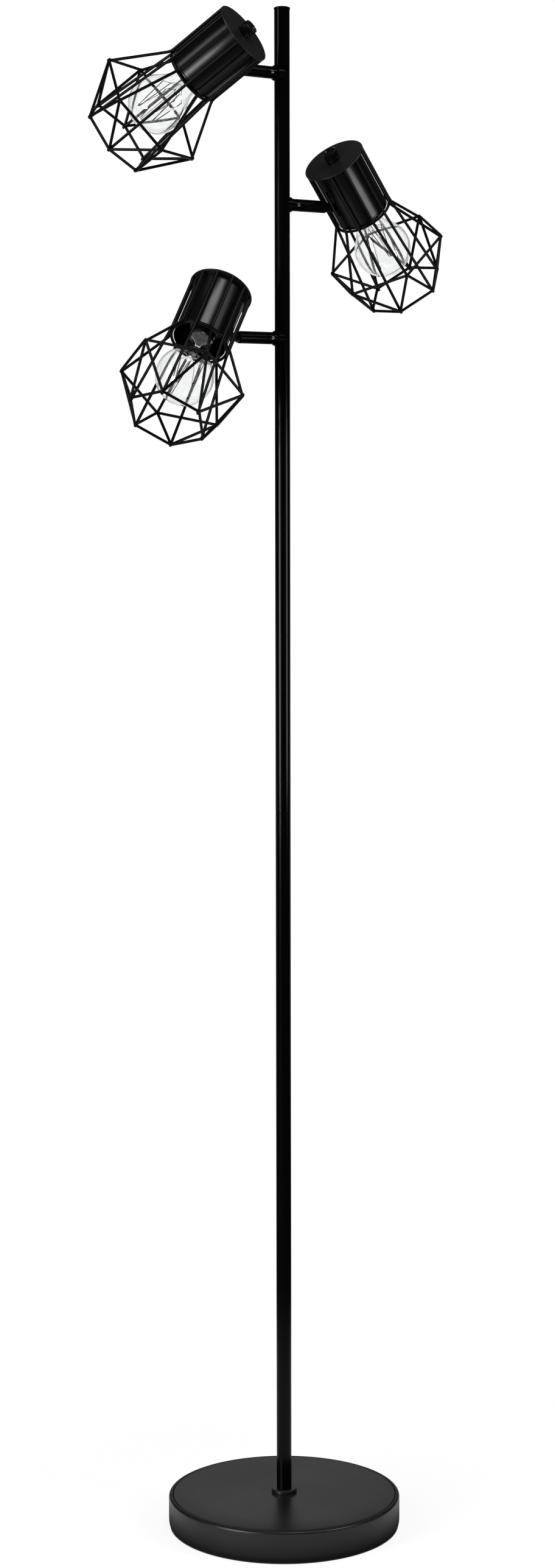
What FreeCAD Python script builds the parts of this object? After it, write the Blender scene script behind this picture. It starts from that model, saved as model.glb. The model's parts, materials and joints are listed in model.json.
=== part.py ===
import FreeCAD, Part
import math
import os

from FreeCAD import Matrix, Placement
from FreeCAD import Vector as V

# Three-head wire cage floor lamp, in millimetres.
# The floor is z = 0, the pole stands on the Z axis, and the three short arms
# lie along X: the lower and upper ones point to -X, the middle one to +X.

# ---- clearances ---------------------------------------------------------
RUN = 0.05                 # radial gap of a shaft that turns in its bore
AIR = 0.3                  # gap between pieces that move past each other
SLIP = 0.2                 # radial gap of a piece that is slid into place

# ---- base ---------------------------------------------------------------
BASE_R = 125.0             # outside of the spun steel cover
BASE_H = 36.0              # floor to the cover's flat top
COVER_WALL = 1.2
COVER_EDGE_R = 2.5         # rolled top edge
COVER_LIFT = 1.0           # the cover's rim stays this far off the floor
PAD_T = 2.0                # felt pad under the whole base
PLATE_T = 11.0             # cast weight, away from its boss
BOSS_R = 24.0
RIB_W = 5.0                # rib at the weight's edge that backs the cover
WELL_R = 16.0              # hollow for the lock nut
WELL_H = 20.0
GROOVE_W = 12.0            # channel for the lead, from the well to the rim
GROOVE_H = 12.0

# ---- pole ---------------------------------------------------------------
POLE_R = 8.0
POLE_WALL = 1.2
POLE_SEAM = 776.5          # where the upper tube stands on the lower one
POLE_TOP = 1609.5          # end of the upper tube, under the cap
CAP_RIM_R = 8.4
CAP_RIM_H = 2.4
CAP_DOME_H = 1.4
CAP_PLUG_L = 10.0
JOINER_L = 50.0
COLLAR_R = 13.5
COLLAR_H = 4.0
COLLAR_EDGE_R = 0.8
SPIGOT_L = 22.0            # the collar's threaded spigot inside the pole
NIPPLE_R = 5.0
NIPPLE_BORE_R = 3.4
NUT_R = 9.0
NUT_H = 3.5
NUT_FLANGE_R = 12.0
NUT_FLANGE_T = 1.5

# ---- supply lead --------------------------------------------------------
LEAD_R = 3.0
LEAD_Z = 8.0               # height of the lead and its inlet above the floor
LEAD_BEND_R = 8.0
INLET_R = 5.0
INLET_FLANGE_R = 6.8
INLET_FLANGE_T = 2.5
INLET_L = 6.0
BRANCH_R = 2.0

# ---- arm ----------------------------------------------------------------
ARM_R = 6.35
ARM_WALL = 1.0
SADDLE_R = 7.9
SADDLE_FACE = 10.5         # pole axis to the saddle's flat face
KNUCKLE_END = 24.5         # pole axis to the swivel seam
GROOVE_AT = 22.4           # ring groove next to the seam
RING_W = 0.8
RING_DEPTH = 0.4
SCREW_AT = 17.6            # pole axis to the set screw
SCREW_R = 1.8
SCREW_HEX = 1.0            # half the width of its hexagon socket
SCREW_PROUD = 0.25
SOCKET_DEPTH = 1.5
SPINDLE_R = 4.1
SPINDLE_BORE_R = 2.5
BUSH_L = 10.0              # length of spindle that turns in the arm
THREAD_R = 3.5
THREAD_L = 3.2
SWIVEL_NUT_R = 5.0
SWIVEL_NUT_L = 2.4
HINGE_AT = 76.4            # pole axis to the tilt pin
TUBE_GAP = 15.6            # tilt pin to the end of the arm's tube
TUBE_BEVEL = 4.8           # the tube's end is bevelled above and below
PLUG_L = 7.0
PLUG_SET_BACK = 5.5        # the plug sits this far inside the tube's end
NOTCH_R = 2.6              # notch in the plug's rim for the lead
TONGUE_T = 2.5
TONGUE_H = 9.0
PIN_R = 1.5
PIN_HEAD_R = 2.7
PIN_HEAD_T = 1.0

# ---- head, measured from the back of its disc towards the mouth ---------
DISC_R = 33.5
DISC_T = 1.5
CUP_R = 28.0
CUP_WALL = 1.0
CUP_END = 70.5
SLOT_W = 10.0
SLOT_START = 20.0
SLOT_END = 52.0
HINGE_DEPTH = 44.4         # the tilt pin, along the head
HINGE_OUT = 24.0           # the tilt pin, out from the head's axis
EAR_T = 1.5
EAR_R = 4.6
STRAP_T = 1.5
STRAP_TAIL_R = 9.0
NECK_R = 5.0               # threaded neck of the rotary switch
RING_NUT_R = 6.4
RING_NUT_H = 2.4
SHAFT_R = 2.0
SWITCH_R = 12.0
SWITCH_H = 14.0
KNOB_R = 7.5
KNOB_H = 13.0
KNOB_RIM_R = 5.6
KNOB_RIM_DEPTH = 2.0
KNOB_FLUTES = 24
FLUTE_R = 0.45
HOLDER_R = 16.0
HOLDER_END = 54.0
HOLDER_FLOOR = 40.0
SHELL_R = 14.4
SHELL_T = 0.6
LAMP_CAP_R = 13.0
LAMP_CAP_START = 44.0
LAMP_CAP_END = 67.0
CONTACT_R = 5.0
THREAD_STEP = 3.6          # pitch of the lamp cap's rolled thread
THREAD_DEPTH = 0.5
THREAD_TURNS = 3

# ---- lamp glass ---------------------------------------------------------
GLASS_R = 30.0
GLASS_CENTRE = 118.0
GLASS_WALL = 0.8
GLASS_NECK_R = 14.2
GLASS_NECK_END = 74.0
STEM_R = 9.0
STEM_TIP_R = 1.6
STEM_START = 68.0
STEM_MID = 82.0
STEM_END = 98.0
FILAMENTS = 6
FILAMENT_R = 0.9
FILAMENT_START = (4.0, 90.0)      # radius and depth of its inner end
FILAMENT_END = (16.5, 129.0)      # radius and depth of its outer end
SUPPORT_R = 0.5

# ---- wire cage ----------------------------------------------------------
WIRE_R = 1.25
STAY_RING_R = 31.9         # circle that the straight wires stand on
RING_R = 29.9              # mouth ring, welded inside the stays
MOUTH_DEPTH = 71.0         # the mouth ring, where the wires bend outwards
WIDE_R = 65.5              # corners of the wide hexagon
WIDE_DEPTH = 126.5
FRONT_R = 42.0             # corners of the open front hexagon
FRONT_DEPTH = 174.0
WELD_R = 2.0
SIDES = 6

# ---- the three arms -----------------------------------------------------
UPPER_DROP = 64.5          # each arm's axis, below the end of the upper tube
MIDDLE_DROP = 197.5
LOWER_DROP = 335.4
# name, height, side of the pole, swivel from hanging straight down, lean of
# the arm away from square to the head, and how far the cage is turned on
# its cup. The angles are in degrees.
ARMS = (
    ("lower", POLE_TOP - LOWER_DROP, -1, 18.7, 37.1, -16.7),
    ("middle", POLE_TOP - MIDDLE_DROP, 1, 7.1, 41.4, -5.5),
    ("upper", POLE_TOP - UPPER_DROP, -1, -53.3, 21.1, -12.0),
)

X = V(1, 0, 0)
Y = V(0, 1, 0)
Z = V(0, 0, 1)


# ---- small helpers ------------------------------------------------------
def polar(radius, degrees, depth=0.0):
    """A point at a radius and an angle about Z."""
    angle = math.radians(degrees)
    return V(radius * math.cos(angle), radius * math.sin(angle), depth)


def rod(start, end, radius):
    """A round bar between two points."""
    run = end - start
    return Part.makeCylinder(radius, run.Length, start, run)


def disc(radius, low, high):
    """A round plate or bar about Z."""
    return Part.makeCylinder(radius, high - low, V(0, 0, low))


def sleeve(outer, inner, low, high):
    """A tube about Z."""
    return disc(outer, low, high).cut(disc(inner, low, high))


def bar_x(radius, start, end):
    """A round bar along X."""
    return Part.makeCylinder(radius, end - start, V(start, 0, 0), X)


def block(low, high):
    """A box between two corners."""
    size = high - low
    return Part.makeBox(size.x, size.y, size.z, low)


def face_of(edges):
    """A flat face inside a closed outline."""
    return Part.Face(Part.Wire(Part.__sortEdges__(edges)))


def lines(points):
    """Straight edges through (radius, height) points, on the XZ plane."""
    spots = [V(radius, 0, height) for radius, height in points]
    return [Part.makeLine(a, b) for a, b in zip(spots, spots[1:])]


def bend(a, b, c):
    """An arc through three (radius, height) points, on the XZ plane."""
    return Part.Arc(*[V(radius, 0, height) for radius, height in (a, b, c)]).toShape()


def turned(edges):
    """The solid that a closed outline on the XZ plane sweeps about Z."""
    return face_of(edges).revolve(V(0, 0, 0), Z, 360)


def frame(x_axis, y_axis, z_axis, origin):
    """The placement whose axes are the three given directions."""
    return Placement(Matrix(
        x_axis.x, y_axis.x, z_axis.x, origin.x,
        x_axis.y, y_axis.y, z_axis.y, origin.y,
        x_axis.z, y_axis.z, z_axis.z, origin.z,
        0, 0, 0, 1))


def placed(shape, placement):
    """A copy of a shape, moved and turned by a placement."""
    moved = shape.copy()
    moved.Placement = placement.multiply(moved.Placement)
    return moved


# ---- where an arm and its head stand ------------------------------------
def arm_axes(side, swivel):
    """Outward direction, hinge axis and hanging direction of an arm."""
    out = X * side
    turn = math.radians(swivel)
    hang = V(0, side * math.sin(turn), -math.cos(turn))
    return out, out.cross(hang), hang


def arm_frame(height, side, swivel):
    """Arm's own frame: X out along the arm, Y along the tilt pin."""
    out, hinge, hang = arm_axes(side, swivel)
    return frame(out, hinge, hang * -1, V(0, 0, height))


def facing(shape, arm):
    """A fixed piece at its arm's height and side, its screw towards -Y."""
    _, height, side, _, _, _ = arm
    flipped = shape if side > 0 else shape.mirror(V(0, 0, 0), X)
    return placed(flipped, Placement(V(0, 0, height), FreeCAD.Rotation()))


def head_frame(height, side, swivel, lean):
    """Head's own frame: Z from the disc to the mouth, X towards the arm."""
    out, hinge, hang = arm_axes(side, swivel)
    tilt = math.radians(lean)
    depth = out * math.sin(tilt) + hang * math.cos(tilt)
    towards = hang * math.sin(tilt) - out * math.cos(tilt)
    pin = V(0, 0, height) + out * HINGE_AT
    origin = pin - depth * HINGE_DEPTH - towards * HINGE_OUT
    return frame(towards, hinge, depth, origin)


# ---- base ---------------------------------------------------------------
def base_cover():
    """Spun steel cover: flat top, rolled edge and straight side."""
    top, under = BASE_H, BASE_H - COVER_WALL
    inner = BASE_R - COVER_WALL
    edge, inner_edge = COVER_EDGE_R, COVER_EDGE_R - COVER_WALL
    lean = math.sin(math.radians(45))
    hole = NIPPLE_R + SLIP
    outline = lines([(hole, under), (hole, top), (BASE_R - edge, top)])
    outline.append(bend(
        (BASE_R - edge, top),
        (BASE_R - edge + edge * lean, top - edge + edge * lean),
        (BASE_R, top - edge)))
    outline += lines([(BASE_R, top - edge), (BASE_R, COVER_LIFT),
                      (inner, COVER_LIFT), (inner, top - edge)])
    outline.append(bend(
        (inner, top - edge),
        (inner - inner_edge + inner_edge * lean, top - edge + inner_edge * lean),
        (inner - inner_edge, under)))
    outline += lines([(inner - inner_edge, under), (hole, under)])
    inlet = Part.makeCylinder(INLET_R, COVER_WALL * 4,
                              V(0, inner - COVER_WALL, LEAD_Z), Y)
    return turned(outline).cut(inlet)


def base_weight():
    """Cast weight with a centre boss, an edge rib, a well and a groove."""
    under_cover = BASE_H - COVER_WALL
    rib_r = BASE_R - COVER_WALL - COVER_EDGE_R
    edge_r = BASE_R - COVER_WALL - SLIP
    body = disc(edge_r, PAD_T, PAD_T + PLATE_T)
    body = body.fuse([disc(BOSS_R, PAD_T, under_cover),
                      sleeve(rib_r, rib_r - RIB_W, PAD_T, under_cover)])
    groove = block(V(-GROOVE_W / 2, 0, PAD_T), V(GROOVE_W / 2, BASE_R, PAD_T + GROOVE_H))
    body = body.cut([disc(NIPPLE_R + SLIP, PAD_T, under_cover),
                     disc(WELL_R, PAD_T, PAD_T + WELL_H), groove])
    return body.removeSplitter()


def base_pad():
    """Felt pad that covers the whole underside."""
    return disc(BASE_R - COVER_WALL - SLIP, 0, PAD_T)


def base_collar():
    """Turned collar at the pole's foot, with a spigot inside the pole."""
    collar = disc(COLLAR_R, BASE_H, BASE_H + COLLAR_H)
    rim = [edge for edge in collar.Edges
           if edge.BoundBox.ZMin > BASE_H + COLLAR_H / 2 and edge.BoundBox.ZLength < SLIP]
    collar = collar.makeFillet(COLLAR_EDGE_R, rim)
    spigot = disc(POLE_R - POLE_WALL, BASE_H, BASE_H + COLLAR_H + SPIGOT_L)
    return collar.fuse(spigot).cut(disc(NIPPLE_R, 0, BASE_H + COLLAR_H + SPIGOT_L))


def base_nipple():
    """Hollow threaded rod that clamps pole, cover and weight together."""
    bottom = PAD_T + WELL_H - NUT_H - NUT_FLANGE_T
    return sleeve(NIPPLE_R, NIPPLE_BORE_R, bottom, BASE_H + COLLAR_H + SPIGOT_L)


def base_nut():
    """Flanged lock nut in the well of the weight."""
    roof = PAD_T + WELL_H
    corners = [polar(NUT_R, 60 * k, roof - NUT_H - NUT_FLANGE_T) for k in range(SIDES + 1)]
    hexagon = Part.Face(Part.makePolygon(corners)).extrude(V(0, 0, NUT_H))
    flange = disc(NUT_FLANGE_R, roof - NUT_FLANGE_T, roof)
    return hexagon.fuse(flange).cut(disc(NIPPLE_R, 0, roof))


def inlet_bushing():
    """Bushing in the cover's side where the supply cord goes in."""
    face = BASE_R
    body = Part.makeCylinder(INLET_R, INLET_L, V(0, face - INLET_L, LEAD_Z), Y)
    flange = Part.makeCylinder(INLET_FLANGE_R, INLET_FLANGE_T, V(0, face, LEAD_Z), Y)
    bore = Part.makeCylinder(LEAD_R + SLIP, INLET_L + INLET_FLANGE_T,
                             V(0, face - INLET_L, LEAD_Z), Y)
    return body.fuse(flange).cut(bore)


def supply_lead():
    """Sheathed lead from the inlet, through the nipple and up the pole."""
    start = V(0, BASE_R - INLET_L / 2, LEAD_Z)
    corner = V(0, LEAD_BEND_R, LEAD_Z)
    middle = V(0, LEAD_BEND_R * (1 - math.sin(math.radians(45))),
               LEAD_Z + LEAD_BEND_R * (1 - math.cos(math.radians(45))))
    rise = V(0, 0, LEAD_Z + LEAD_BEND_R)
    top = V(0, 0, ARMS[-1][1] + LEAD_R)
    path = Part.Wire([Part.makeLine(start, corner),
                      Part.Arc(corner, middle, rise).toShape(),
                      Part.makeLine(rise, top)])
    section = Part.Wire(Part.makeCircle(LEAD_R, start, Y))
    return path.makePipeShell([section], True, False)


# ---- pole ---------------------------------------------------------------
def pole_lower():
    """Lower tube, from the collar to the seam."""
    return sleeve(POLE_R, POLE_R - POLE_WALL, BASE_H + COLLAR_H, POLE_SEAM)


def pole_upper():
    """Upper tube, with a hole for each arm's spindle."""
    tube = sleeve(POLE_R, POLE_R - POLE_WALL, POLE_SEAM, POLE_TOP)
    holes = [Part.makeCylinder(SPINDLE_R, POLE_R * 2, V(0, 0, height), X * side)
             for _, height, side, _, _, _ in ARMS]
    return tube.cut(holes)


def pole_joiner():
    """Coupler inside the pole at the seam."""
    return sleeve(POLE_R - POLE_WALL, LEAD_R + SLIP,
                  POLE_SEAM - JOINER_L / 2, POLE_SEAM + JOINER_L / 2)


def pole_cap():
    """Push-in cap with a rim and a low dome."""
    rim_top = POLE_TOP + CAP_RIM_H
    round_r = (CAP_RIM_R ** 2 + CAP_DOME_H ** 2) / (2 * CAP_DOME_H)
    ball = Part.makeSphere(round_r, V(0, 0, rim_top + CAP_DOME_H - round_r))
    dome = ball.common(disc(CAP_RIM_R, POLE_TOP, rim_top + CAP_DOME_H))
    return dome.fuse(disc(POLE_R - POLE_WALL, POLE_TOP - CAP_PLUG_L, POLE_TOP))


# ---- arm pieces, X out along the arm ------------------------------------
def saddle():
    """Hollowed washer between the round pole and the knuckle."""
    blank = bar_x(SADDLE_R, 0, SADDLE_FACE)
    pole = disc(POLE_R, -SADDLE_R * 2, SADDLE_R * 2)
    return blank.cut([pole, bar_x(SPINDLE_R, 0, SADDLE_FACE)])


def spindle():
    """Hollow spindle: screwed into the pole, it carries the turning arm."""
    shoulder = KNUCKLE_END + BUSH_L + 2 * AIR
    bar = bar_x(SPINDLE_R, POLE_R - POLE_WALL, shoulder)
    thread = bar_x(THREAD_R, shoulder - AIR, shoulder + THREAD_L)
    return bar.fuse(thread).cut(bar_x(SPINDLE_BORE_R, 0, shoulder + THREAD_L))


def screw_bar():
    """Round bar where the set screw goes, from the -Y side to the middle."""
    face = ARM_R + SCREW_PROUD
    return Part.makeCylinder(SCREW_R, face, V(SCREW_AT, -face, 0), Y)


def knuckle():
    """Fixed barrel on the spindle, with a ring groove near the seam."""
    barrel = bar_x(ARM_R, SADDLE_FACE, KNUCKLE_END)
    ring = bar_x(ARM_R, GROOVE_AT, GROOVE_AT + RING_W).cut(
        bar_x(ARM_R - RING_DEPTH, GROOVE_AT, GROOVE_AT + RING_W))
    bore = bar_x(SPINDLE_R, SADDLE_FACE, KNUCKLE_END)
    return barrel.cut([ring, bore, screw_bar()])


def set_screw():
    """Socket set screw in the knuckle, tight against the spindle."""
    face = ARM_R + SCREW_PROUD
    corners = [V(SCREW_AT + point.x, -face, point.y)
               for point in (polar(SCREW_HEX, 60 * k) for k in range(SIDES + 1))]
    socket = Part.Face(Part.makePolygon(corners)).extrude(V(0, SOCKET_DEPTH, 0))
    return screw_bar().cut([socket, bar_x(SPINDLE_R, SADDLE_FACE, KNUCKLE_END)])


def swivel_nut():
    """Nut that keeps the arm on the spindle."""
    start = KNUCKLE_END + BUSH_L + 2 * AIR
    return bar_x(SWIVEL_NUT_R, start, start + SWIVEL_NUT_L).cut(
        bar_x(THREAD_R, start, start + SWIVEL_NUT_L))


def branch_lead():
    """Lead that leaves the pole through the spindle's bore."""
    end = KNUCKLE_END + BUSH_L + THREAD_L + 2 * AIR
    return bar_x(BRANCH_R, LEAD_R, end)


def arm_tube():
    """Arm's tube: thick where it turns on the spindle, bevelled outside."""
    start = KNUCKLE_END + AIR
    end = HINGE_AT - TUBE_GAP
    bush_end = start + BUSH_L
    tube = bar_x(ARM_R, start, end)
    bore = bar_x(ARM_R - ARM_WALL, bush_end, end)
    bush = bar_x(SPINDLE_R + RUN, start, bush_end)
    wedges = []
    for up in (-1, 1):
        corners = [V(end, -ARM_R, up * (ARM_R - TUBE_BEVEL)),
                   V(end, -ARM_R, up * ARM_R * 2),
                   V(end - TUBE_BEVEL - ARM_R, -ARM_R, up * ARM_R * 2)]
        outline = Part.makePolygon(corners + corners[:1])
        wedges.append(Part.Face(outline).extrude(V(0, 2 * ARM_R, 0)))
    return tube.cut([bore, bush] + wedges)


def arm_tongue():
    """Plug in the tube's end with the flat tongue that the head tilts on."""
    tube_end = HINGE_AT - TUBE_GAP
    plug_end = tube_end - PLUG_SET_BACK
    plug = bar_x(ARM_R - ARM_WALL, plug_end - PLUG_L, plug_end)
    half = TONGUE_T / 2
    blade = block(V(plug_end, -half, -TONGUE_H / 2), V(HINGE_AT, half, TONGUE_H / 2))
    tip = Part.makeCylinder(TONGUE_H / 2, TONGUE_T, V(HINGE_AT, -half, 0), Y)
    eye = Part.makeCylinder(PIN_R + RUN, TONGUE_T, V(HINGE_AT, -half, 0), Y)
    notch = Part.makeCylinder(NOTCH_R, PLUG_L, V(plug_end - PLUG_L, ARM_R - ARM_WALL, 0), X)
    return plug.fuse([blade, tip]).cut([eye, notch])


# ---- head pieces, Z from the disc to the mouth --------------------------
def hinge_pin():
    """Riveted pin through the ears and the tongue."""
    outside = TONGUE_T / 2 + AIR + EAR_T
    spot = V(HINGE_OUT, 0, HINGE_DEPTH)
    shank = Part.makeCylinder(PIN_R, 2 * outside, spot - Y * outside, Y)
    heads = [Part.makeCylinder(PIN_HEAD_R, PIN_HEAD_T, spot + Y * (outside * way), Y * way)
             for way in (-1, 1)]
    return shank.fuse(heads)


def hinge_strap():
    """Bent strap under the cup's top, with two ears for the pin."""
    top = DISC_T + CUP_WALL
    web_out = HINGE_OUT - TONGUE_H / 2 - AIR
    half = TONGUE_T / 2 + AIR + EAR_T
    web_end = HINGE_DEPTH + EAR_R
    plate = block(V(0, -half, top), V(web_out, half, top + STRAP_T))
    tail = disc(STRAP_TAIL_R, top, top + STRAP_T)
    web = block(V(web_out - STRAP_T, -half, top), V(web_out, half, web_end))
    ears = []
    for way in (-1, 1):
        inside = way * (half - EAR_T)
        low_y, high_y = sorted((inside, way * half))
        ears.append(block(V(web_out - STRAP_T, low_y, HINGE_DEPTH - EAR_R),
                          V(HINGE_OUT, high_y, web_end)))
        ears.append(Part.makeCylinder(EAR_R, EAR_T, V(HINGE_OUT, low_y, HINGE_DEPTH), Y))
    hole = Part.makeCylinder(PIN_R, 2 * half, V(HINGE_OUT, -half, HINGE_DEPTH), Y)
    neck = disc(NECK_R, top, top + STRAP_T)
    return plate.fuse([tail, web] + ears).cut([hole, neck]).removeSplitter()


def cup():
    """Drawn steel cup with a slot for the arm's tongue."""
    top = DISC_T
    shell = disc(CUP_R, top, CUP_END)
    hollow = disc(CUP_R - CUP_WALL, top + CUP_WALL, CUP_END)
    half = SLOT_W / 2
    slot = block(V(0, -half, SLOT_START + half), V(CUP_R * 2, half, SLOT_END - half))
    ends = [Part.makeCylinder(half, CUP_R * 2, V(0, 0, depth), X)
            for depth in (SLOT_START + half, SLOT_END - half)]
    return shell.cut([hollow, disc(NECK_R, top, top + CUP_WALL), slot] + ends)


def cage():
    """Disc, twelve stays, mouth ring and the faceted wire basket."""
    wide = [polar(WIDE_R, 60 * k, WIDE_DEPTH) for k in range(SIDES)]
    front = [polar(FRONT_R, 60 * k + 30, FRONT_DEPTH) for k in range(SIDES)]
    pieces = [Part.makeTorus(RING_R, WIRE_R, V(0, 0, MOUTH_DEPTH))]
    for k in range(2 * SIDES):
        knee = polar(STAY_RING_R, 30 * k, MOUTH_DEPTH)
        corner = front[k // 2] if k % 2 else wide[k // 2]
        pieces.append(rod(polar(STAY_RING_R, 30 * k, DISC_T / 2), knee, WIRE_R))
        pieces.append(Part.makeSphere(WIRE_R, knee))
        pieces.append(rod(knee, corner, WIRE_R))
    for k in range(SIDES):
        after = (k + 1) % SIDES
        pieces += [rod(wide[k], wide[after], WIRE_R), rod(front[k], front[after], WIRE_R),
                   rod(wide[k], front[k], WIRE_R), rod(wide[after], front[k], WIRE_R),
                   Part.makeSphere(WELD_R, wide[k]), Part.makeSphere(WELD_R, front[k])]
    whole = disc(DISC_R, 0, DISC_T).fuse(pieces)
    return whole.cut(disc(NECK_R, 0, DISC_T))


def switch_body():
    """Rotary switch: housing, threaded neck with its ring nut, and shaft."""
    top = DISC_T + CUP_WALL + STRAP_T
    shaft_end = KNOB_H * 0.7
    return disc(SWITCH_R, top, top + SWITCH_H).fuse([
        disc(NECK_R, -RING_NUT_H, top),
        disc(RING_NUT_R, -RING_NUT_H, 0),
        disc(SHAFT_R, -shaft_end, 0)])


def switch_knob():
    """Fluted knob with a dished end, which turns the lamp on and off."""
    shaft_end = KNOB_H * 0.7
    body = disc(KNOB_R, -KNOB_H, -AIR)
    cuts = [disc(RING_NUT_R + AIR, -RING_NUT_H - AIR, -AIR),
            disc(SHAFT_R + RUN, -shaft_end - AIR, -AIR),
            disc(KNOB_RIM_R, -KNOB_H, -KNOB_H + KNOB_RIM_DEPTH)]
    step = 360.0 / KNOB_FLUTES
    for k in range(KNOB_FLUTES):
        spot = polar(KNOB_R, k * step, -KNOB_H)
        cuts.append(Part.makeCylinder(FLUTE_R, KNOB_H * 0.8, spot))
    return body.cut(cuts)


def lampholder():
    """Moulded holder under the switch, open towards the mouth."""
    top = DISC_T + CUP_WALL + STRAP_T + SWITCH_H
    return disc(HOLDER_R, top, HOLDER_END).cut(disc(SHELL_R, HOLDER_FLOOR, HOLDER_END))


def screw_shell():
    """Brass screw shell and its floor inside the lampholder."""
    tube = sleeve(SHELL_R, SHELL_R - SHELL_T, HOLDER_FLOOR, HOLDER_END - SHELL_T * 2)
    return tube.fuse(disc(SHELL_R, HOLDER_FLOOR, HOLDER_FLOOR + SHELL_T))


def lamp_cap():
    """Lamp's screw cap, with its rolled thread and end contact."""
    floor = HOLDER_FLOOR + SHELL_T
    core_r = LAMP_CAP_R - THREAD_DEPTH
    points = [(0, LAMP_CAP_END), (0, floor), (CONTACT_R, floor),
              (core_r, LAMP_CAP_START)]
    depth = LAMP_CAP_START
    for _ in range(THREAD_TURNS):
        points += [(LAMP_CAP_R, depth + THREAD_STEP / 2), (core_r, depth + THREAD_STEP)]
        depth += THREAD_STEP
    points += [(LAMP_CAP_R, depth + THREAD_STEP / 2), (LAMP_CAP_R, LAMP_CAP_END),
               (0, LAMP_CAP_END)]
    return turned(lines(points))


def glass_profile(inset):
    """Outline of the lamp's glass, as edges from the cap to the tip."""
    ball = GLASS_R - inset
    start_z = LAMP_CAP_END
    neck = GLASS_NECK_R - inset
    shoulder = math.radians(-37)
    joint = (ball * math.cos(shoulder), GLASS_CENTRE + ball * math.sin(shoulder))
    middle = (neck + (joint[0] - neck) * 0.28,
              GLASS_NECK_END + (joint[1] - GLASS_NECK_END) * 0.5)
    equator = (ball * math.cos(math.radians(20)), GLASS_CENTRE + ball * math.sin(math.radians(20)))
    tip = (0, GLASS_CENTRE + ball)
    edges = lines([(LAMP_CAP_R - inset, start_z), (neck, GLASS_NECK_END)])
    edges.append(bend((neck, GLASS_NECK_END), middle, joint))
    edges.append(bend(joint, equator, tip))
    return edges


def lamp_glass():
    """Clear glass envelope with an even wall."""
    outer = glass_profile(0.0) + lines([
        (0, GLASS_CENTRE + GLASS_R), (0, LAMP_CAP_END), (LAMP_CAP_R, LAMP_CAP_END)])
    inner = glass_profile(GLASS_WALL) + lines([
        (0, GLASS_CENTRE + GLASS_R - GLASS_WALL), (0, LAMP_CAP_END),
        (LAMP_CAP_R - GLASS_WALL, LAMP_CAP_END)])
    return turned(outer).cut(turned(inner))


def lamp_filament():
    """Glass stem that carries a fan of thin filaments and their supports."""
    stem = turned(lines([
        (0, LAMP_CAP_END), (STEM_R, LAMP_CAP_END), (STEM_R, STEM_START),
        (STEM_TIP_R, STEM_MID), (STEM_TIP_R, STEM_END), (0, STEM_END), (0, LAMP_CAP_END)]))
    inner_r, inner_z = FILAMENT_START
    outer_r, outer_z = FILAMENT_END
    pieces = [Part.makeTorus(outer_r, SUPPORT_R, V(0, 0, outer_z))]
    for k in range(FILAMENTS):
        angle = 360.0 * k / FILAMENTS
        low = polar(inner_r, angle, inner_z)
        high = polar(outer_r, angle, outer_z)
        pieces.append(rod(low, high, FILAMENT_R))
        pieces.append(rod(polar(0, angle, inner_z), low, SUPPORT_R))
    return stem.fuse(pieces)


# ---- writing the pieces -------------------------------------------------
def write(name, shape):
    """Save one sub-part, which has to be a sound solid or group of solids."""
    if not shape.isValid() or not shape.Solids:
        raise ValueError("bad solid: " + name)
    shape.exportStep("parts/" + name + ".step")
    print(name, len(shape.Solids), round(shape.Volume, 1))


def main():
    """Build every sub-part once and write it where it stands."""
    os.makedirs("parts", exist_ok=True)
    root = {
        "base_cover": base_cover(), "base_weight": base_weight(), "base_pad": base_pad(),
        "base_collar": base_collar(), "base_nipple": base_nipple(), "base_nut": base_nut(),
        "inlet_bushing": inlet_bushing(), "supply_lead": supply_lead(),
        "pole_lower": pole_lower(), "pole_upper": pole_upper(),
        "pole_joiner": pole_joiner(), "pole_cap": pole_cap(),
    }
    fixed = {"saddles": saddle(), "spindles": spindle(), "set_screws": set_screw(),
             "swivel_nuts": swivel_nut(), "branch_leads": branch_lead()}
    for name, shape in fixed.items():
        copies = [facing(shape, arm) for arm in ARMS]
        root[name] = Part.makeCompound(copies)
    for name, shape in root.items():
        write(name, shape)
    barrel = knuckle()
    arm_parts = {"arm_tube": arm_tube(), "arm_tongue": arm_tongue()}
    head_parts = {
        "hinge_pin": hinge_pin(), "hinge_strap": hinge_strap(), "cup": cup(),
        "switch_body": switch_body(), "switch_knob": switch_knob(),
        "lampholder": lampholder(), "screw_shell": screw_shell(), "lamp_cap": lamp_cap(),
        "lamp_glass": lamp_glass(), "lamp_filament": lamp_filament(),
    }
    basket = cage()
    for arm in ARMS:
        name, height, side, swivel, lean, turn = arm
        write(name + "_knuckle", facing(barrel, arm))
        for part, shape in arm_parts.items():
            write(name + "_" + part, placed(shape, arm_frame(height, side, swivel)))
        place = head_frame(height, side, swivel, lean)
        for part, shape in head_parts.items():
            write(name + "_" + part, placed(shape, place))
        turned_basket = basket.copy()
        turned_basket.rotate(V(0, 0, 0), Z, turn)
        write(name + "_cage", placed(turned_basket, place))


main()
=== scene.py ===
"""Looks of a black floor lamp with three caged heads: paint, wire, glass and filaments.

Sizes are in millimetres and become metres where a mesh is made. Everything that
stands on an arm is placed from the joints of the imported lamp.
"""

import json
import logging
import math
from contextlib import contextmanager
from dataclasses import dataclass, field
from enum import Enum
from typing import Any, Callable, Iterable, Iterator, Sequence

import bpy
from mathutils import Matrix, Vector

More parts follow.
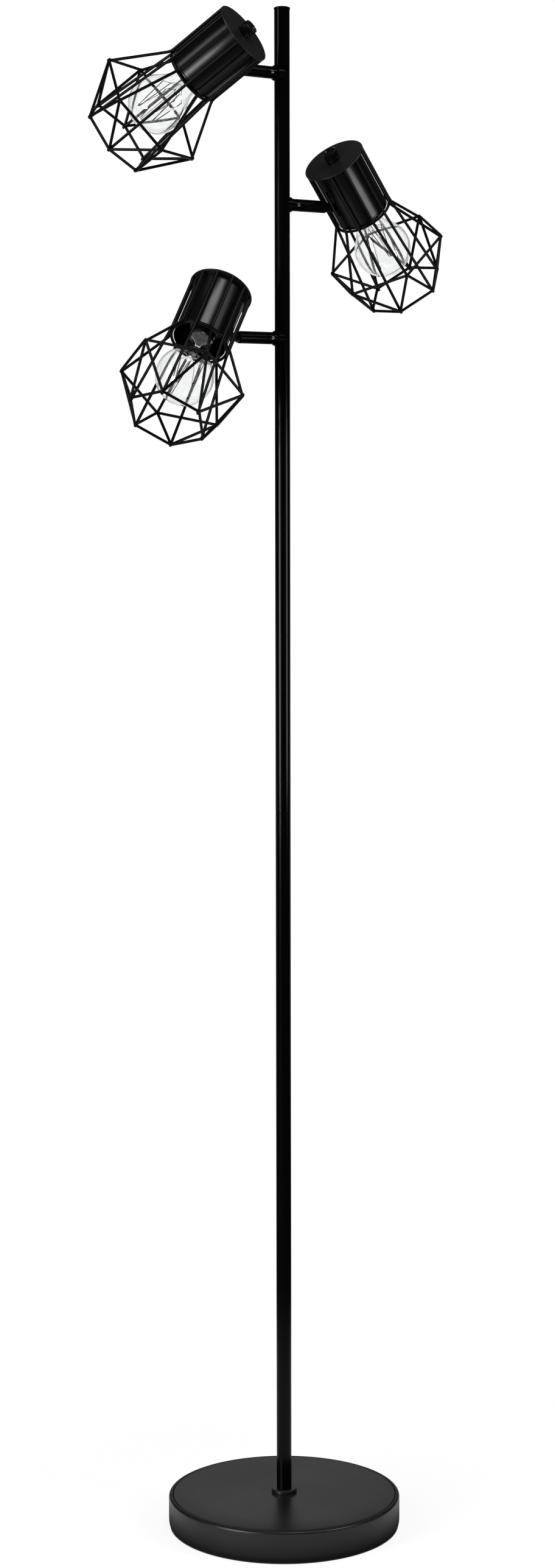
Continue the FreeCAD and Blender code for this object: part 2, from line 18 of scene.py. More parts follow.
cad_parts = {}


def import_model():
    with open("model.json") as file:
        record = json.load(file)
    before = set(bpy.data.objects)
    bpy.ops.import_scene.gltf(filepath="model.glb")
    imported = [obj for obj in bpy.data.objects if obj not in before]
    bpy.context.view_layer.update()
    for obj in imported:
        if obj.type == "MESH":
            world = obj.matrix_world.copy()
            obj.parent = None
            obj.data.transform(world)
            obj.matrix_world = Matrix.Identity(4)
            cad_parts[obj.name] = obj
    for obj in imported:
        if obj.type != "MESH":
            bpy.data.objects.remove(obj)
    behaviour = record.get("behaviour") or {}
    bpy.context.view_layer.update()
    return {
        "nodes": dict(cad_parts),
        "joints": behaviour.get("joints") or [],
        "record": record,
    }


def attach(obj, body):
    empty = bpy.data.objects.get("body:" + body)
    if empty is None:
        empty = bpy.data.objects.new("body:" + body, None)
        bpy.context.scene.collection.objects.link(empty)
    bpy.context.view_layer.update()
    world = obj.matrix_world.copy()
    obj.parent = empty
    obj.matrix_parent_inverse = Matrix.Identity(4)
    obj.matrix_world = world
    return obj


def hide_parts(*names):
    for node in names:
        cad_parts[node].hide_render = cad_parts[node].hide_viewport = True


LOG = logging.getLogger("lamp")
MM = 0.001
# Points nearer to each other than this, in metres, are one point.
MERGE_GAP = 1e-6
# Stretches in each bend of a wire.
BEND_STEPS = 4
# The middle part of a noise, where nearly all of its values lie.
NOISE_LOW, NOISE_HIGH = 0.3, 0.7
WHITE = (1.0, 1.0, 1.0, 1.0)
# Turn of each head's cage on its cup, in degrees.
CAGE_TURNS: dict[str, float] = {"lower": -16.7, "middle": -5.5, "upper": -12.0}
# Distance from a knob's joint to its disc, in millimetres.
KNOB_OUT = 6.0

Point = tuple[float, float, float]
Ring = tuple[float, float]
Links = dict[str | int, Any]


# ---------------------------------------------------------------- finishes
def linear(hex_colour: str) -> tuple[float, float, float, float]:
    """Turn an sRGB hex colour into linear light.

    Args:
        hex_colour: Six hex digits with a leading hash.

    Returns:
        Red, green, blue and an alpha of 1.
    """
    channels = [int(hex_colour[i:i + 2], 16) / 255 for i in (1, 3, 5)]
    r, g, b = (c / 12.92 if c <= 0.04045 else ((c + 0.055) / 1.055) ** 2.4 for c in channels)
    return r, g, b, 1.0


def add_node(tree: bpy.types.NodeTree, kind: str, links: Links | None = None,
             **settings: Any) -> bpy.types.Node:
    """Add a shader node with its settings and links.

    Args:
        tree: Node tree that gets the node.
        kind: Type name of the node.
        links: Input name or number to a value or an output socket.
        **settings: Attributes set on the node before its sockets.

    Returns:
        The new node.
    """
    node = tree.nodes.new(kind)
    for name, value in settings.items():
        setattr(node, name, value)
    for key, value in (links or {}).items():
        socket = node.inputs[key]
        if isinstance(value, bpy.types.NodeSocket):
            tree.links.new(value, socket)
        else:
            socket.default_value = value
    return node


def blank_material(name: str) -> tuple[bpy.types.Material, bpy.types.NodeTree]:
    """Make a node material with nothing in it.

    Args:
        name: Name of the material.

    Returns:
        The material and its empty node tree.
    """
    material = bpy.data.materials.new(name)
    material.use_nodes = True
    material.node_tree.nodes.clear()
    return material, material.node_tree


@dataclass(frozen=True)
class Coated:
    """A painted, powder coated, moulded or metal surface.

    Two noises give it its character: a fine grain in the bump, as large as
    the finish's own grain, and slow patches in gloss and colour.
    """

    name: str
    colour: str
    patch_colour: str
    roughness: float
    patch_roughness: float
    grain_mm: float
    patch_mm: float
    bump_mm: float
    metallic: float = 0.0
    specular: float = 0.5
    sheen: float = 0.0

    def build(self) -> bpy.types.Material:
        """Build the node material.

        Returns:
            The material.
        """
        material, tree = blank_material(self.name)
        where = add_node(tree, "ShaderNodeTexCoord").outputs["Object"]
        grain, patch = (
            add_node(tree, "ShaderNodeTexNoise",
                     {"Vector": where, "Scale": 1 / (size * MM), "Detail": detail,
                      "Roughness": rough}).outputs["Fac"]
            for size, detail, rough in ((self.grain_mm, 3.0, 0.6), (self.patch_mm, 2.0, 0.5)))
        tint = add_node(tree, "ShaderNodeMix",
                        {"Factor": patch, "A": linear(self.colour),
                         "B": linear(self.patch_colour)}, data_type="RGBA")
        gloss = add_node(tree, "ShaderNodeMapRange",
                         {"Value": patch, "From Min": NOISE_LOW, "From Max": NOISE_HIGH,
                          "To Min": self.roughness, "To Max": self.patch_roughness})
        bump = add_node(tree, "ShaderNodeBump",
                        {"Height": grain, "Strength": 1.0, "Distance": self.bump_mm * MM})
        shader = add_node(tree, "ShaderNodeBsdfPrincipled",
                          {"Base Color": tint.outputs["Result"],
                           "Roughness": gloss.outputs["Result"],
                           "Normal": bump.outputs["Normal"], "Metallic": self.metallic,
                           "Specular IOR Level": self.specular, "Sheen Weight": self.sheen})
        add_node(tree, "ShaderNodeOutputMaterial", {"Surface": shader.outputs[0]})
        return material


@dataclass(frozen=True)
class ClearGlass:
    """Blown soda-lime glass: clear, slightly uneven, with an IOR of 1.5."""

    name: str
    tint: str
    roughness: float
    wave_mm: float
    wave_depth_mm: float
    ior: float = 1.5

    def build(self) -> bpy.types.Material:
        """Build the node material.

        Returns:
            The material.
        """
        material, tree = blank_material(self.name)
        where = add_node(tree, "ShaderNodeTexCoord")
        wave = add_node(tree, "ShaderNodeTexNoise",
                        {"Vector": where.outputs["Object"], "Scale": 1 / (self.wave_mm * MM),
                         "Detail": 1.0})
        bump = add_node(tree, "ShaderNodeBump",
                        {"Height": wave.outputs["Fac"], "Strength": 1.0,
                         "Distance": self.wave_depth_mm * MM})
        shader = add_node(tree, "ShaderNodeBsdfPrincipled",
                          {"Base Color": linear(self.tint), "Roughness": self.roughness,
                           "IOR": self.ior, "Transmission Weight": 1.0,
                           "Normal": bump.outputs["Normal"]})
        add_node(tree, "ShaderNodeOutputMaterial", {"Surface": shader.outputs[0]})
        return material


class Finishes(Enum):
    """Every finish of the lamp, by the maker's name for it.

    Each has its colour and that of its patches, the roughness of both, and the
    sizes in millimetres of its grain, its patches and the grain's height.
    """

    # Satin stove enamel, sprayed and baked on steel tube: near black, with fine
    # orange peel that breaks a light into soft streaks.
    POLE_ENAMEL = Coated("satin stove enamel", "#020202", "#030303", 0.13, 0.17,
                         0.9, 60.0, 0.002, specular=0.07)
    # The same enamel on the drawn cups, a little greyer where the light lies.
    CUP_ENAMEL = Coated("cup enamel", "#060606", "#080808", 0.21, 0.26,
                        0.8, 30.0, 0.002, specular=0.18)
    # The same enamel sprayed on the flat discs: duller, with more orange peel. Its grey, lighter
    # than on the cups, is painted light for the light that the flat faces catch.
    DISC_ENAMEL = Coated("lit disc enamel", "#0f0f0f", "#121212", 0.30, 0.36,
                         0.8, 24.0, 0.003, specular=0.20)
    # Dipped enamel on welded wire: smooth, with thin lines of light.
    WIRE_ENAMEL = Coated("wire enamel", "#030202", "#050404", 0.34, 0.42,
                         0.8, 12.0, 0.002, specular=0.09)
    # Fine powder coat on the spun base: charcoal, even, with a dull sheen. Its
    # grit is about 0.1 mm, too fine to show, so it is drawn as 0.35 mm.
    POWDER_COAT = Coated("fine powder coat", "#0e0e0f", "#101112", 0.32, 0.36,
                         0.35, 80.0, 0.005, specular=0.30)
    # Moulded ABS of the knob: the mould's polish makes it glossier than the paint.
    MOULDED_ABS = Coated("moulded abs", "#050404", "#080707", 0.24, 0.32,
                         0.5, 10.0, 0.003, specular=0.20)
    # Moulded phenolic of the lampholder: black and dull, with a little mottle.
    PHENOLIC = Coated("phenolic moulding", "#141313", "#191817", 0.42, 0.50,
                      0.6, 12.0, 0.004)
    # Bright zinc plate on small steel pieces: pale, bluish and fairly sharp.
    ZINC = Coated("bright zinc", "#c9cacb", "#b9bbbd", 0.18, 0.28, 0.3, 4.0, 0.002,
                  metallic=1.0)
    # Nickel plate on the lamp's drawn cap: warm grey, with a soft shine.
    NICKEL = Coated("nickel plate", "#c6c2ba", "#b4afa6", 0.20, 0.30, 0.5, 8.0, 0.003,
                    metallic=1.0)
    # Rolled brass of the screw shell: yellow, dulled a little by handling.
    BRASS = Coated("rolled brass", "#b98f4a", "#a77e3c", 0.26, 0.36, 0.4, 6.0, 0.003,
                   metallic=1.0)
    # Sand-cast iron of the weight: dark, rough and pitted.
    CAST_IRON = Coated("cast iron", "#3a3a3c", "#2d2d2f", 0.62, 0.74, 1.2, 20.0, 0.08,
                       metallic=0.6)
    # Needled felt of the pad: matt fibres with a faint sheen at their tips.
    FELT = Coated("needled felt", "#17171a", "#202024", 0.92, 0.96, 0.5, 8.0, 0.15,
                  sheen=0.4)
    # Extruded PVC sheath of the leads: smooth and dull.
    SHEATH = Coated("lead sheath", "#141415", "#1a1a1b", 0.55, 0.62, 0.6, 12.0, 0.01)
    # Phosphor baked on the thin glass filaments: dull ochre when unlit.
    PHOSPHOR = Coated("phosphor coat", "#5c564e", "#47423c", 0.55, 0.65, 0.3, 2.0, 0.02)
    # Drawn nickel wire of the lamp's supports: grey, with a thin line of light.
    SUPPORT_WIRE = Coated("support wire", "#5e5a55", "#4c4945", 0.30, 0.40, 0.3, 3.0, 0.002,
                          metallic=1.0)
    # Blown bulb glass: clear, and a little wavy, which bends what lies behind it.
    BULB_GLASS = ClearGlass("blown bulb glass", "#fdfefe", 0.0, 34.0, 0.02)
    # Pressed glass of the stem: thicker, rippled where it was pinched.
    STEM_GLASS = ClearGlass("pressed stem glass", "#f4f6f6", 0.02, 5.0, 0.05)

    def material(self) -> bpy.types.Material:
        """Return the finish's material, made on its first use."""
        return bpy.data.materials.get(self.value.name) or self.value.build()


# ------------------------------------------------------------ modelling
def nothing_selected() -> None:
    """Leave every object unselected, in object mode."""
    if bpy.context.object is not None and bpy.context.object.mode != "OBJECT":
        bpy.ops.object.mode_set(mode="OBJECT")
    bpy.ops.object.select_all(action="DESELECT")


def alone(piece: bpy.types.Object) -> None:
    """Make one object the only selected and active one.

    Args:
        piece: The object.
    """
    nothing_selected()
    piece.select_set(True)
    bpy.context.view_layer.objects.active = piece


def metres(point: Sequence[float]) -> Vector:
    """Return a point in metres from one in millimetres."""
    return Vector(point) * MM


def polar(radius: float, degrees: float, depth: float = 0.0) -> Vector:
    """Return the point at a radius and an angle about Z, in millimetres."""
    angle = math.radians(degrees)
    return Vector((radius * math.cos(angle), radius * math.sin(angle), depth))


@contextmanager
def editing(piece: bpy.types.Object, action: str = "SELECT") -> Iterator[None]:
    """Edit one piece's mesh, all of it selected or none of it.

    Args:
        piece: Piece whose mesh is edited.
        action: SELECT or DESELECT, for the whole mesh.

    Yields:
        Nothing. Edit mode ends with the block.
    """
    alone(piece)
    bpy.ops.object.mode_set(mode="EDIT")
    bpy.ops.mesh.select_all(action=action)
    yield
    bpy.ops.object.mode_set(mode="OBJECT")


def edit_edges(piece: bpy.types.Object, wanted: Callable[[Vector], bool]) -> None:
    """Go into edit mode with some edges selected.

    Args:
        piece: Piece whose edges are selected.
        wanted: Test that both ends of such an edge pass.
    """
    with editing(piece, "DESELECT"):
        bpy.ops.mesh.select_mode(type="VERT")
    for vertex in piece.data.vertices:
        vertex.select = wanted(vertex.co)
    for edge in piece.data.edges:
        edge.select = all(piece.data.vertices[v].select for v in edge.vertices)
    bpy.ops.object.mode_set(mode="EDIT")
    bpy.ops.mesh.select_mode(type="EDGE")


def close_up(piece: bpy.types.Object) -> None:
    """Merge a piece's doubles and turn its faces outwards.

    Args:
        piece: Piece whose mesh is closed up.
    """
    with editing(piece):
        bpy.ops.mesh.remove_doubles(threshold=MERGE_GAP)
        bpy.ops.mesh.normals_make_consistent(inside=False)


def bend(start: Vector, corner: Vector, end: Vector, reach: float, steps: int) -> list[Vector]:
    """Round one corner of a run of points.

    Args:
        start: A point on the line that comes to the corner.
        corner: The sharp corner.
        end: A point on the line that leaves it.
        reach: Distance from the corner to where the round begins.
        steps: Number of stretches in the round.

    Returns:
        The points of the round, first to last.
    """
    first = corner + (start - corner).normalized() * reach
    last = corner + (end - corner).normalized() * reach
    shares = [step / steps for step in range(steps + 1)]
    return [first * (1 - t) ** 2 + corner * (2 * t * (1 - t)) + last * t ** 2 for t in shares]


def fillet(corner: Ring, start: Ring, end: Ring, reach: float, steps: int) -> list[Ring]:
    """Round one corner of a profile.

    Args:
        corner: Radius and height of the sharp corner.
        start: A ring on the line that comes to the corner.
        end: A ring on the line that leaves it.
        reach: Distance from the corner to where the round begins.
        steps: Number of stretches in the round.

    Returns:
        The rings of the round, first to last.
    """
    points = bend(Vector(start), Vector(corner), Vector(end), reach, steps)
    return [(point.x, point.y) for point in points]


def turned(name: str, rings: Sequence[Ring], segments: int = 64,
           ring_shaped: bool = False) -> bpy.types.Object:
    """Turn a piece about Z by extruding and resizing a circle, ring by ring.

    Args:
        name: Name of the piece.
        rings: Radius and height of each ring. A first or last radius of zero
            closes the piece at the axis.
        segments: Number of sides.
        ring_shaped: True where the profile goes on round to its start, as a
            tube's or a cup's wall does.

    Returns:
        The piece, in metres.
    """
    nothing_selected()
    tip = rings[0][0] == 0.0
    first = rings[1] if tip else rings[0]
    bpy.ops.mesh.primitive_circle_add(
        vertices=segments, radius=first[0] * MM, location=(0, 0, first[1] * MM),
        fill_type="NOTHING" if ring_shaped else ("TRIFAN" if tip else "NGON"))
    piece = bpy.context.object
    piece.name = piece.data.name = name
    bpy.ops.object.transform_apply(location=True, rotation=False, scale=False)
    if tip and rings[0][1] != first[1]:
        centre = min(piece.data.vertices, key=lambda v: v.co.xy.length)
        centre.co.z = rings[0][1] * MM
    edit_edges(piece, lambda co: co.xy.length > first[0] * MM / 2)
    radius, height = first
    for next_radius, next_height in rings[2 if tip else 1:]:
        bpy.ops.mesh.extrude_edges_move(
            TRANSFORM_OT_translate={"value": (0, 0, (next_height - height) * MM)})
        if next_radius == 0.0:
            bpy.ops.mesh.merge(type="CENTER")
            radius = 0.0
            break
        scale = next_radius / radius
        bpy.ops.transform.resize(value=(scale, scale, 1.0),
                                 center_override=(0, 0, next_height * MM))
        radius, height = next_radius, next_height
    if not ring_shaped and radius > 0.0:
        bpy.ops.mesh.edge_face_add()
    bpy.ops.object.mode_set(mode="OBJECT")
    close_up(piece)
    return piece


def wires(name: str, runs: Iterable[Sequence[Vector]], radius: float,
          closed: bool = False, sides: int = 3) -> bpy.types.Object:
    """Bend round wires along runs of points.

    Args:
        name: Name of the piece.
        runs: Points of each wire, in millimetres.
        radius: Radius of the wire.
        closed: True where each wire comes back to its start.
        sides: Fineness of the wire's round section.

    Returns:
        One mesh that holds all the wires, in metres.
    """
    curve = bpy.data.curves.new(name, "CURVE")
    curve.dimensions = "3D"
    curve.bevel_depth = radius * MM
    curve.bevel_resolution = sides
    curve.use_fill_caps = not closed
    for run in runs:
        spline = curve.splines.new("POLY")
        spline.points.add(len(run) - 1)
        spline.use_cyclic_u = closed
        for point, place in zip(spline.points, run):
            point.co = (*metres(place), 1.0)
    piece = bpy.data.objects.new(name, curve)
    bpy.context.scene.collection.objects.link(piece)
    alone(piece)
    bpy.ops.object.convert(target="MESH")
    piece = bpy.context.object
    close_up(piece)
    return piece


def softened(points: Sequence[Vector], reach: float, closed: bool = False) -> list[Vector]:
    """Round the corners of a run of points, as a bender leaves them.

    Args:
        points: Corners of the wire.
        reach: Distance from each corner to where its bend begins.
        closed: True where the run comes back to its start.

    Returns:
        The points of the bent wire.
    """
    count = len(points)
    bent: list[Vector] = []
    for i, corner in enumerate(points):
        if not closed and i in (0, count - 1):
            bent.append(corner.copy())
        else:
            bent += bend(points[i - 1], corner, points[(i + 1) % count], reach, BEND_STEPS)
    return bent


def cut_with(piece: bpy.types.Object, cutter: bpy.types.Object) -> None:
    """Cut one piece with another and delete the cutter.

    Args:
        piece: Piece that loses material.
        cutter: Closed piece that shows where.
    """
    alone(piece)
    modifier = piece.modifiers.new("cut", "BOOLEAN")
    modifier.operation = "DIFFERENCE"
    modifier.solver = "EXACT"
    modifier.object = cutter
    bpy.ops.object.modifier_apply(modifier=modifier.name)
    bpy.data.objects.remove(cutter)


def drill(piece: bpy.types.Object, radius: float, depth: float, sides: int,
          at: Point = (0.0, 0.0, 0.0), lean: float = 0.0) -> None:
    """Cut a straight hole in a piece.

    Args:
        piece: Piece that is drilled.
        radius: Radius of the hole, in millimetres.
        depth: Its length, half of it each way from its middle.
        sides: Number of its sides.
        at: Its middle.
        lean: Turn about X, in degrees, of a hole that would run along Z.
    """
    nothing_selected()
    bpy.ops.mesh.primitive_cylinder_add(vertices=sides, radius=radius * MM, depth=depth * MM,
                                        location=metres(at), rotation=(math.radians(lean), 0, 0))
    bpy.ops.object.transform_apply(location=True, rotation=True, scale=True)
    cut_with(piece, bpy.context.object)


def joined(name: str, pieces: Sequence[bpy.types.Object]) -> bpy.types.Object:
    """Join pieces into one object and name it.

    Args:
        name: Name of the joined piece.
        pieces: Pieces to join, none of which is left.

    Returns:
        The joined piece.
    """
    alone(pieces[0])
    for piece in pieces[1:]:
        piece.select_set(True)
    bpy.ops.object.join()
    result = bpy.context.object
    result.name = result.data.name = name
    return result


@dataclass
class Dresser:
    """Finishes pieces, seats them and counts them."""

    done: list[str] = field(default_factory=list)

    def seat(self, piece: bpy.types.Object, place: Matrix, finish: Finishes, body: str,
             stands_for: Sequence[str], smooth: float = 32.0) -> None:
        """Place a piece's mesh, give it its finish and let it ride on a body.

        Args:
            piece: Piece in its own frame, with its object at the origin.
            place: Where that frame stands, in metres.
            finish: Finish of the whole piece.
            body: Moving body that carries the piece.
            stands_for: Nodes that the piece replaces.
            smooth: Edges flatter than this, in degrees, are shaded smooth.
        """
        alone(piece)
        piece.data.transform(place)
        piece.data.update()
        bpy.ops.object.shade_smooth_by_angle(angle=math.radians(smooth))
        piece.data.materials.clear()
        piece.data.materials.append(finish.material())
        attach(piece, body)
        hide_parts(*stands_for)
        self.done.append(piece.name)
        LOG.info("piece %s on %s", piece.name, body)


# -------------------------------------------------------------- the stand
@dataclass
class Base:
    """Spun cover with its rolled edge, and the turned collar on it."""

    radius: float = 125.0
    height: float = 36.0
    wall: float = 1.2
    lift: float = 1.0
    edge: float = 3.0
    sag: float = 1.6
    flat: float = 0.7
    foot: float = 8.0
    tuck: float = 1.3
    hole: float = 5.2
    top_rings: tuple[float, ...] = (0.35, 0.7, 0.76, 0.82, 0.87, 0.91, 0.94)
    foot_steps: int = 6
    collar_radius: float = 13.5
    collar_height: float = 4.0
    collar_chamfer: float = 1.2
    collar_edge: float = 0.4
    pole_radius: float = 8.0

    def cover(self) -> bpy.types.Object:
        """Turn the cover's wall, out over the top and back inside.

        Returns:
            The cover.
        """
        top, under = self.height, self.height - self.wall
        inner = self.radius - self.wall - self.tuck
        rings: list[Ring] = [(self.hole, under), (self.hole, top)]
        for share in self.top_rings:
            drop = max(0.0, (share - self.flat) / (1 - self.flat)) ** 2
            rings.append((self.radius * share, top - self.sag * drop))
        corner = (self.radius, top - self.sag)
        rings += fillet(corner, rings[-1], (self.radius, 0), self.edge, steps=8)
        rings.append((self.radius, top / 2))
        for step in range(self.foot_steps + 1):
            down = step / self.foot_steps
            rings.append((self.radius - self.tuck * down ** 2,
                          self.foot + (self.lift - self.foot) * down))
        rings.append((inner, self.lift))
        rings += fillet((inner, under), (inner, 0), (0, under), self.edge - self.wall, steps=5)
        rings += [(self.radius * 0.6, under), (self.hole, under)]
        return turned("cover_skin", rings, segments=192, ring_shaped=True)

    def collar(self) -> bpy.types.Object:
        """Turn the collar, with its bevelled shoulder.

        Returns:
            The collar.
        """
        low, high = self.height, self.height + self.collar_height
        bore, edge = self.pole_radius - 1.0, self.collar_edge
        shoulder = fillet((self.collar_radius, high), (0, high), (self.collar_radius, low),
                          self.collar_chamfer, steps=3)
        rings = [(bore, low), (bore, high), (self.pole_radius + edge, high), *shoulder,
                 (self.collar_radius, low + edge), (self.collar_radius - edge, low), (bore, low)]
        return turned("collar_skin", rings, segments=96, ring_shaped=True)

    def build(self, dresser: Dresser) -> None:
        """Make both pieces and seat them on the stand.

        Args:
            dresser: Seats the pieces.
        """
        still = Matrix.Identity(4)
        for piece, slot, node in ((self.cover(), "black_base", "base_cover"),
                                  (self.collar(), "black_pole", "base_collar")):
            dresser.seat(piece, still, Finishes.POWDER_COAT, "stand", [node])


@dataclass
class Pole:
    """Two tubes with broken edges at the seam, and the cap."""

    radius: float = 8.0
    wall: float = 1.2
    foot: float = 40.0
    seam: float = 776.5
    top: float = 1609.5
    edge: float = 0.35
    cap_radius: float = 8.4
    cap_rim: float = 2.4
    cap_edge: float = 0.2
    cap_round: float = 0.6
    cap_dome: float = 1.4
    dome_rings: tuple[float, ...] = (0.8, 0.6, 0.4, 0.2)
    plug: float = 10.0

    def tube(self, name: str, low: float, high: float) -> bpy.types.Object:
        """Turn one tube.

        Args:
            name: Name of the piece.
            low: Height of its lower end.
            high: Height of its upper end.

        Returns:
            The tube.
        """
        inner = self.radius - self.wall
        middle = (low + high) / 2
        rings = [(inner, low), (self.radius - self.edge, low), (self.radius, low + self.edge),
                 (self.radius, middle), (self.radius, high - self.edge),
                 (self.radius - self.edge, high), (inner, high), (inner, middle), (inner, low)]
        return turned(name, rings, ring_shaped=True)

    def cap(self) -> bpy.types.Object:
        """Turn the cap's plug, rim and dome.

        Returns:
            The cap.
        """
        rim_top = self.top + self.cap_rim
        plug_radius = self.radius - self.wall
        rings = [(plug_radius, self.top - self.plug), (plug_radius, self.top),
                 (self.cap_radius - self.cap_edge, self.top),
                 (self.cap_radius, self.top + self.cap_edge),
                 *fillet((self.cap_radius, rim_top), (self.cap_radius, 0), (0, rim_top),
                         self.cap_round, steps=3)]
        for share in self.dome_rings:
            rings.append((self.cap_radius * share, rim_top + self.cap_dome * (1 - share ** 2)))
        rings.append((0.0, rim_top + self.cap_dome))
        return turned("cap_skin", rings)

    def build(self, dresser: Dresser) -> None:
        """Make the tubes and the cap and seat them on the stand.

        Args:
            dresser: Seats the pieces.
        """
        still = Matrix.Identity(4)
        for piece, node in (
                (self.tube("lower_tube_skin", self.foot, self.seam), "pole_lower"),
                (self.tube("upper_tube_skin", self.seam, self.top), "pole_upper"),
                (self.cap(), "pole_cap")):
            dresser.seat(piece, still, Finishes.POLE_ENAMEL, "stand", [node])


# --------------------------------------------------------------- the arms
@dataclass(frozen=True)
class Station:
    """One arm and its head: where they stand, read from the lamp's joints."""

    name: str
    height: float
    side: int
    arm: Matrix
    head: Matrix
    cage_turn: float


def frame_matrix(x_axis: Vector, y_axis: Vector, z_axis: Vector, origin: Vector) -> Matrix:
    """Build the matrix of a frame from its axes and its origin in metres."""
    turn = Matrix((x_axis, y_axis, z_axis)).transposed()
    return Matrix.Translation(origin) @ turn.to_4x4()


def read_station(joints: Sequence[dict[str, Any]], name: str, cage_turn: float,
                 knob_out: float) -> Station:
    """Work out an arm's and a head's frames from their joints.

    Args:
        joints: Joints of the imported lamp.
        name: Name of the arm.
        cage_turn: Turn of the cage on its cup, in degrees.
        knob_out: Distance from the knob's joint to the disc, in millimetres.

    Returns:
        The station.
    """
    found = {joint["name"]: joint for joint in joints}
    pin = Vector(found[name + "_tilt"]["pos_m"])
    hinge = Vector(found[name + "_tilt"]["axis"]).normalized()
    knob = found[name + "_switch_turn"]
    depth = Vector(knob["axis"]).normalized()
    side = 1 if pin.x > 0 else -1
    out = Vector((side, 0.0, 0.0))
    origin = Vector(knob["pos_m"]) + depth * (knob_out * MM)
    level = Vector((0.0, 0.0, pin.z))
    return Station(name, pin.z / MM, side,
                   frame_matrix(out, hinge, out.cross(hinge), level),
                   frame_matrix(hinge.cross(depth), hinge, depth, origin), cage_turn)


@dataclass
class Arm:
    """Saddle, grooved knuckle with its set screw, and the bevelled tube."""

    radius: float = 6.35
    wall: float = 1.0
    edge: float = 0.3
    saddle_face: float = 10.5
    saddle_radius: float = 7.9
    saddle_edge: float = 0.5
    pole_radius: float = 8.0
    spindle: float = 4.1
    barrel_end: float = 24.5
    gap: float = 0.3
    groove_at: float = 22.4
    groove: float = 0.8
    groove_slope: float = 0.1
    groove_depth: float = 0.4
    screw_at: float = 17.6
    screw_radius: float = 1.8
    screw_proud: float = 0.25
    socket: float = 1.0
    socket_depth: float = 1.5
    bush: float = 10.0
    clearance: float = 0.05
    tube_end: float = 60.8
    tube_edge: float = 0.2
    bevel: float = 4.8
    bevel_angle: float = 45.0

    def turned_along_x(self, name: str, rings: Sequence[Ring]) -> bpy.types.Object:
        """Turn a piece about Z and lay it along X.

        Args:
            name: Name of the piece.
            rings: Radius and distance from the pole's axis of each ring.

        Returns:
            The piece.
        """
        piece = turned(name, rings, ring_shaped=True)
        piece.data.transform(Matrix.Rotation(math.pi / 2, 4, "Y"))
        return piece

    def saddle(self) -> bpy.types.Object:
        """Turn the washer and hollow it to the pole's round.

        Returns:
            The saddle washer, along X.
        """
        low, high = self.pole_radius * 0.12, self.saddle_face
        rings = [(self.spindle, low), (self.saddle_radius, low),
                 (self.saddle_radius, high - self.saddle_edge),
                 (self.saddle_radius - self.saddle_edge, high),
                 (self.spindle, high), (self.spindle, low)]
        washer = self.turned_along_x("saddle_blank", rings)
        drill(washer, self.pole_radius, self.saddle_radius * 4, sides=96)
        return washer

    def knuckle(self) -> bpy.types.Object:
        """Turn the barrel with its ring groove and drill it for the screw.

        Returns:
            The knuckle's barrel, along X.
        """
        start, end, groove, edge = self.saddle_face, self.barrel_end, self.groove_at, self.edge
        inner, slope = self.radius - self.groove_depth, self.groove_slope
        rings = [(self.spindle, start), (self.radius - edge, start), (self.radius, start + edge),
                 (self.radius, groove), (inner, groove + slope),
                 (inner, groove + self.groove - slope), (self.radius, groove + self.groove),
                 (self.radius, end - edge), (self.radius - edge, end), (self.spindle, end),
                 (self.spindle, start)]
        barrel = self.turned_along_x("barrel_blank", rings)
        drill(barrel, self.screw_radius, self.radius, sides=40,
              at=(self.screw_at, -self.radius, 0.0), lean=90.0)
        return barrel

    def screw(self) -> bpy.types.Object:
        """Turn the set screw with its cupped rim and sink its hexagon socket.

        Returns:
            The screw, with its socket towards the front.
        """
        face = self.radius + self.screw_proud
        rings = [(self.screw_radius, 0.0), (self.screw_radius, face - 0.35),
                 (self.screw_radius - 0.25, face), (self.socket + 0.25, face),
                 (self.socket + 0.1, face - 0.12)]
        screw = turned("screw_blank", rings, segments=36)
        drill(screw, self.socket, self.socket_depth * 2, sides=6, at=(0.0, 0.0, face))
        tip = self.spindle + self.clearance
        with editing(screw):
            bpy.ops.mesh.bisect(plane_co=(0, 0, tip * MM), plane_no=(0, 0, 1), use_fill=True,
                                clear_inner=True)
        screw.data.transform(Matrix.Rotation(math.pi / 2, 4, "X"))
        screw.data.transform(Matrix.Translation((self.screw_at * MM, 0, 0)))
        return screw

    def tube(self) -> bpy.types.Object:
        """Turn the tube and bevel its end above and below.

        Returns:
            The tube, along X.
        """
        start, end = self.barrel_end + self.gap, self.tube_end
        inner, bush = self.radius - self.wall, self.spindle + self.clearance
        bush_end = start + self.bush
        rings = [(bush, start), (self.radius - self.edge, start),
                 (self.radius, start + self.edge), (self.radius, (start + end) / 2),
                 (self.radius, end - self.tube_edge), (self.radius - self.tube_edge, end),
                 (inner, end), (inner, bush_end), (bush, bush_end), (bush, start)]
        tube = self.turned_along_x("tube_blank", rings)
        for way in (-1, 1):
            cut_with(tube, self.wedge(way))
        return tube

    def wedge(self, way: int) -> bpy.types.Object:
        """Make the block whose leaning face cuts one bevel.

        Args:
            way: 1 for the bevel above the tube's end, -1 for the one below.

        Returns:
            A block three times as wide as the tube.
        """
        size = self.radius * 2
        edge = Vector((self.tube_end, 0, way * (self.radius - self.bevel)))
        nothing_selected()
        bpy.ops.mesh.primitive_cube_add(size=size * MM)
        block = bpy.context.object
        for move in (Matrix.Translation((0, 0, way * size / 2 * MM)),
                     Matrix.Scale(3.0, 4, Vector((0, 1, 0))),
                     Matrix.Rotation(way * math.radians(self.bevel_angle), 4, "Y"),
                     Matrix.Translation(edge * MM)):
            block.data.transform(move)
        return block

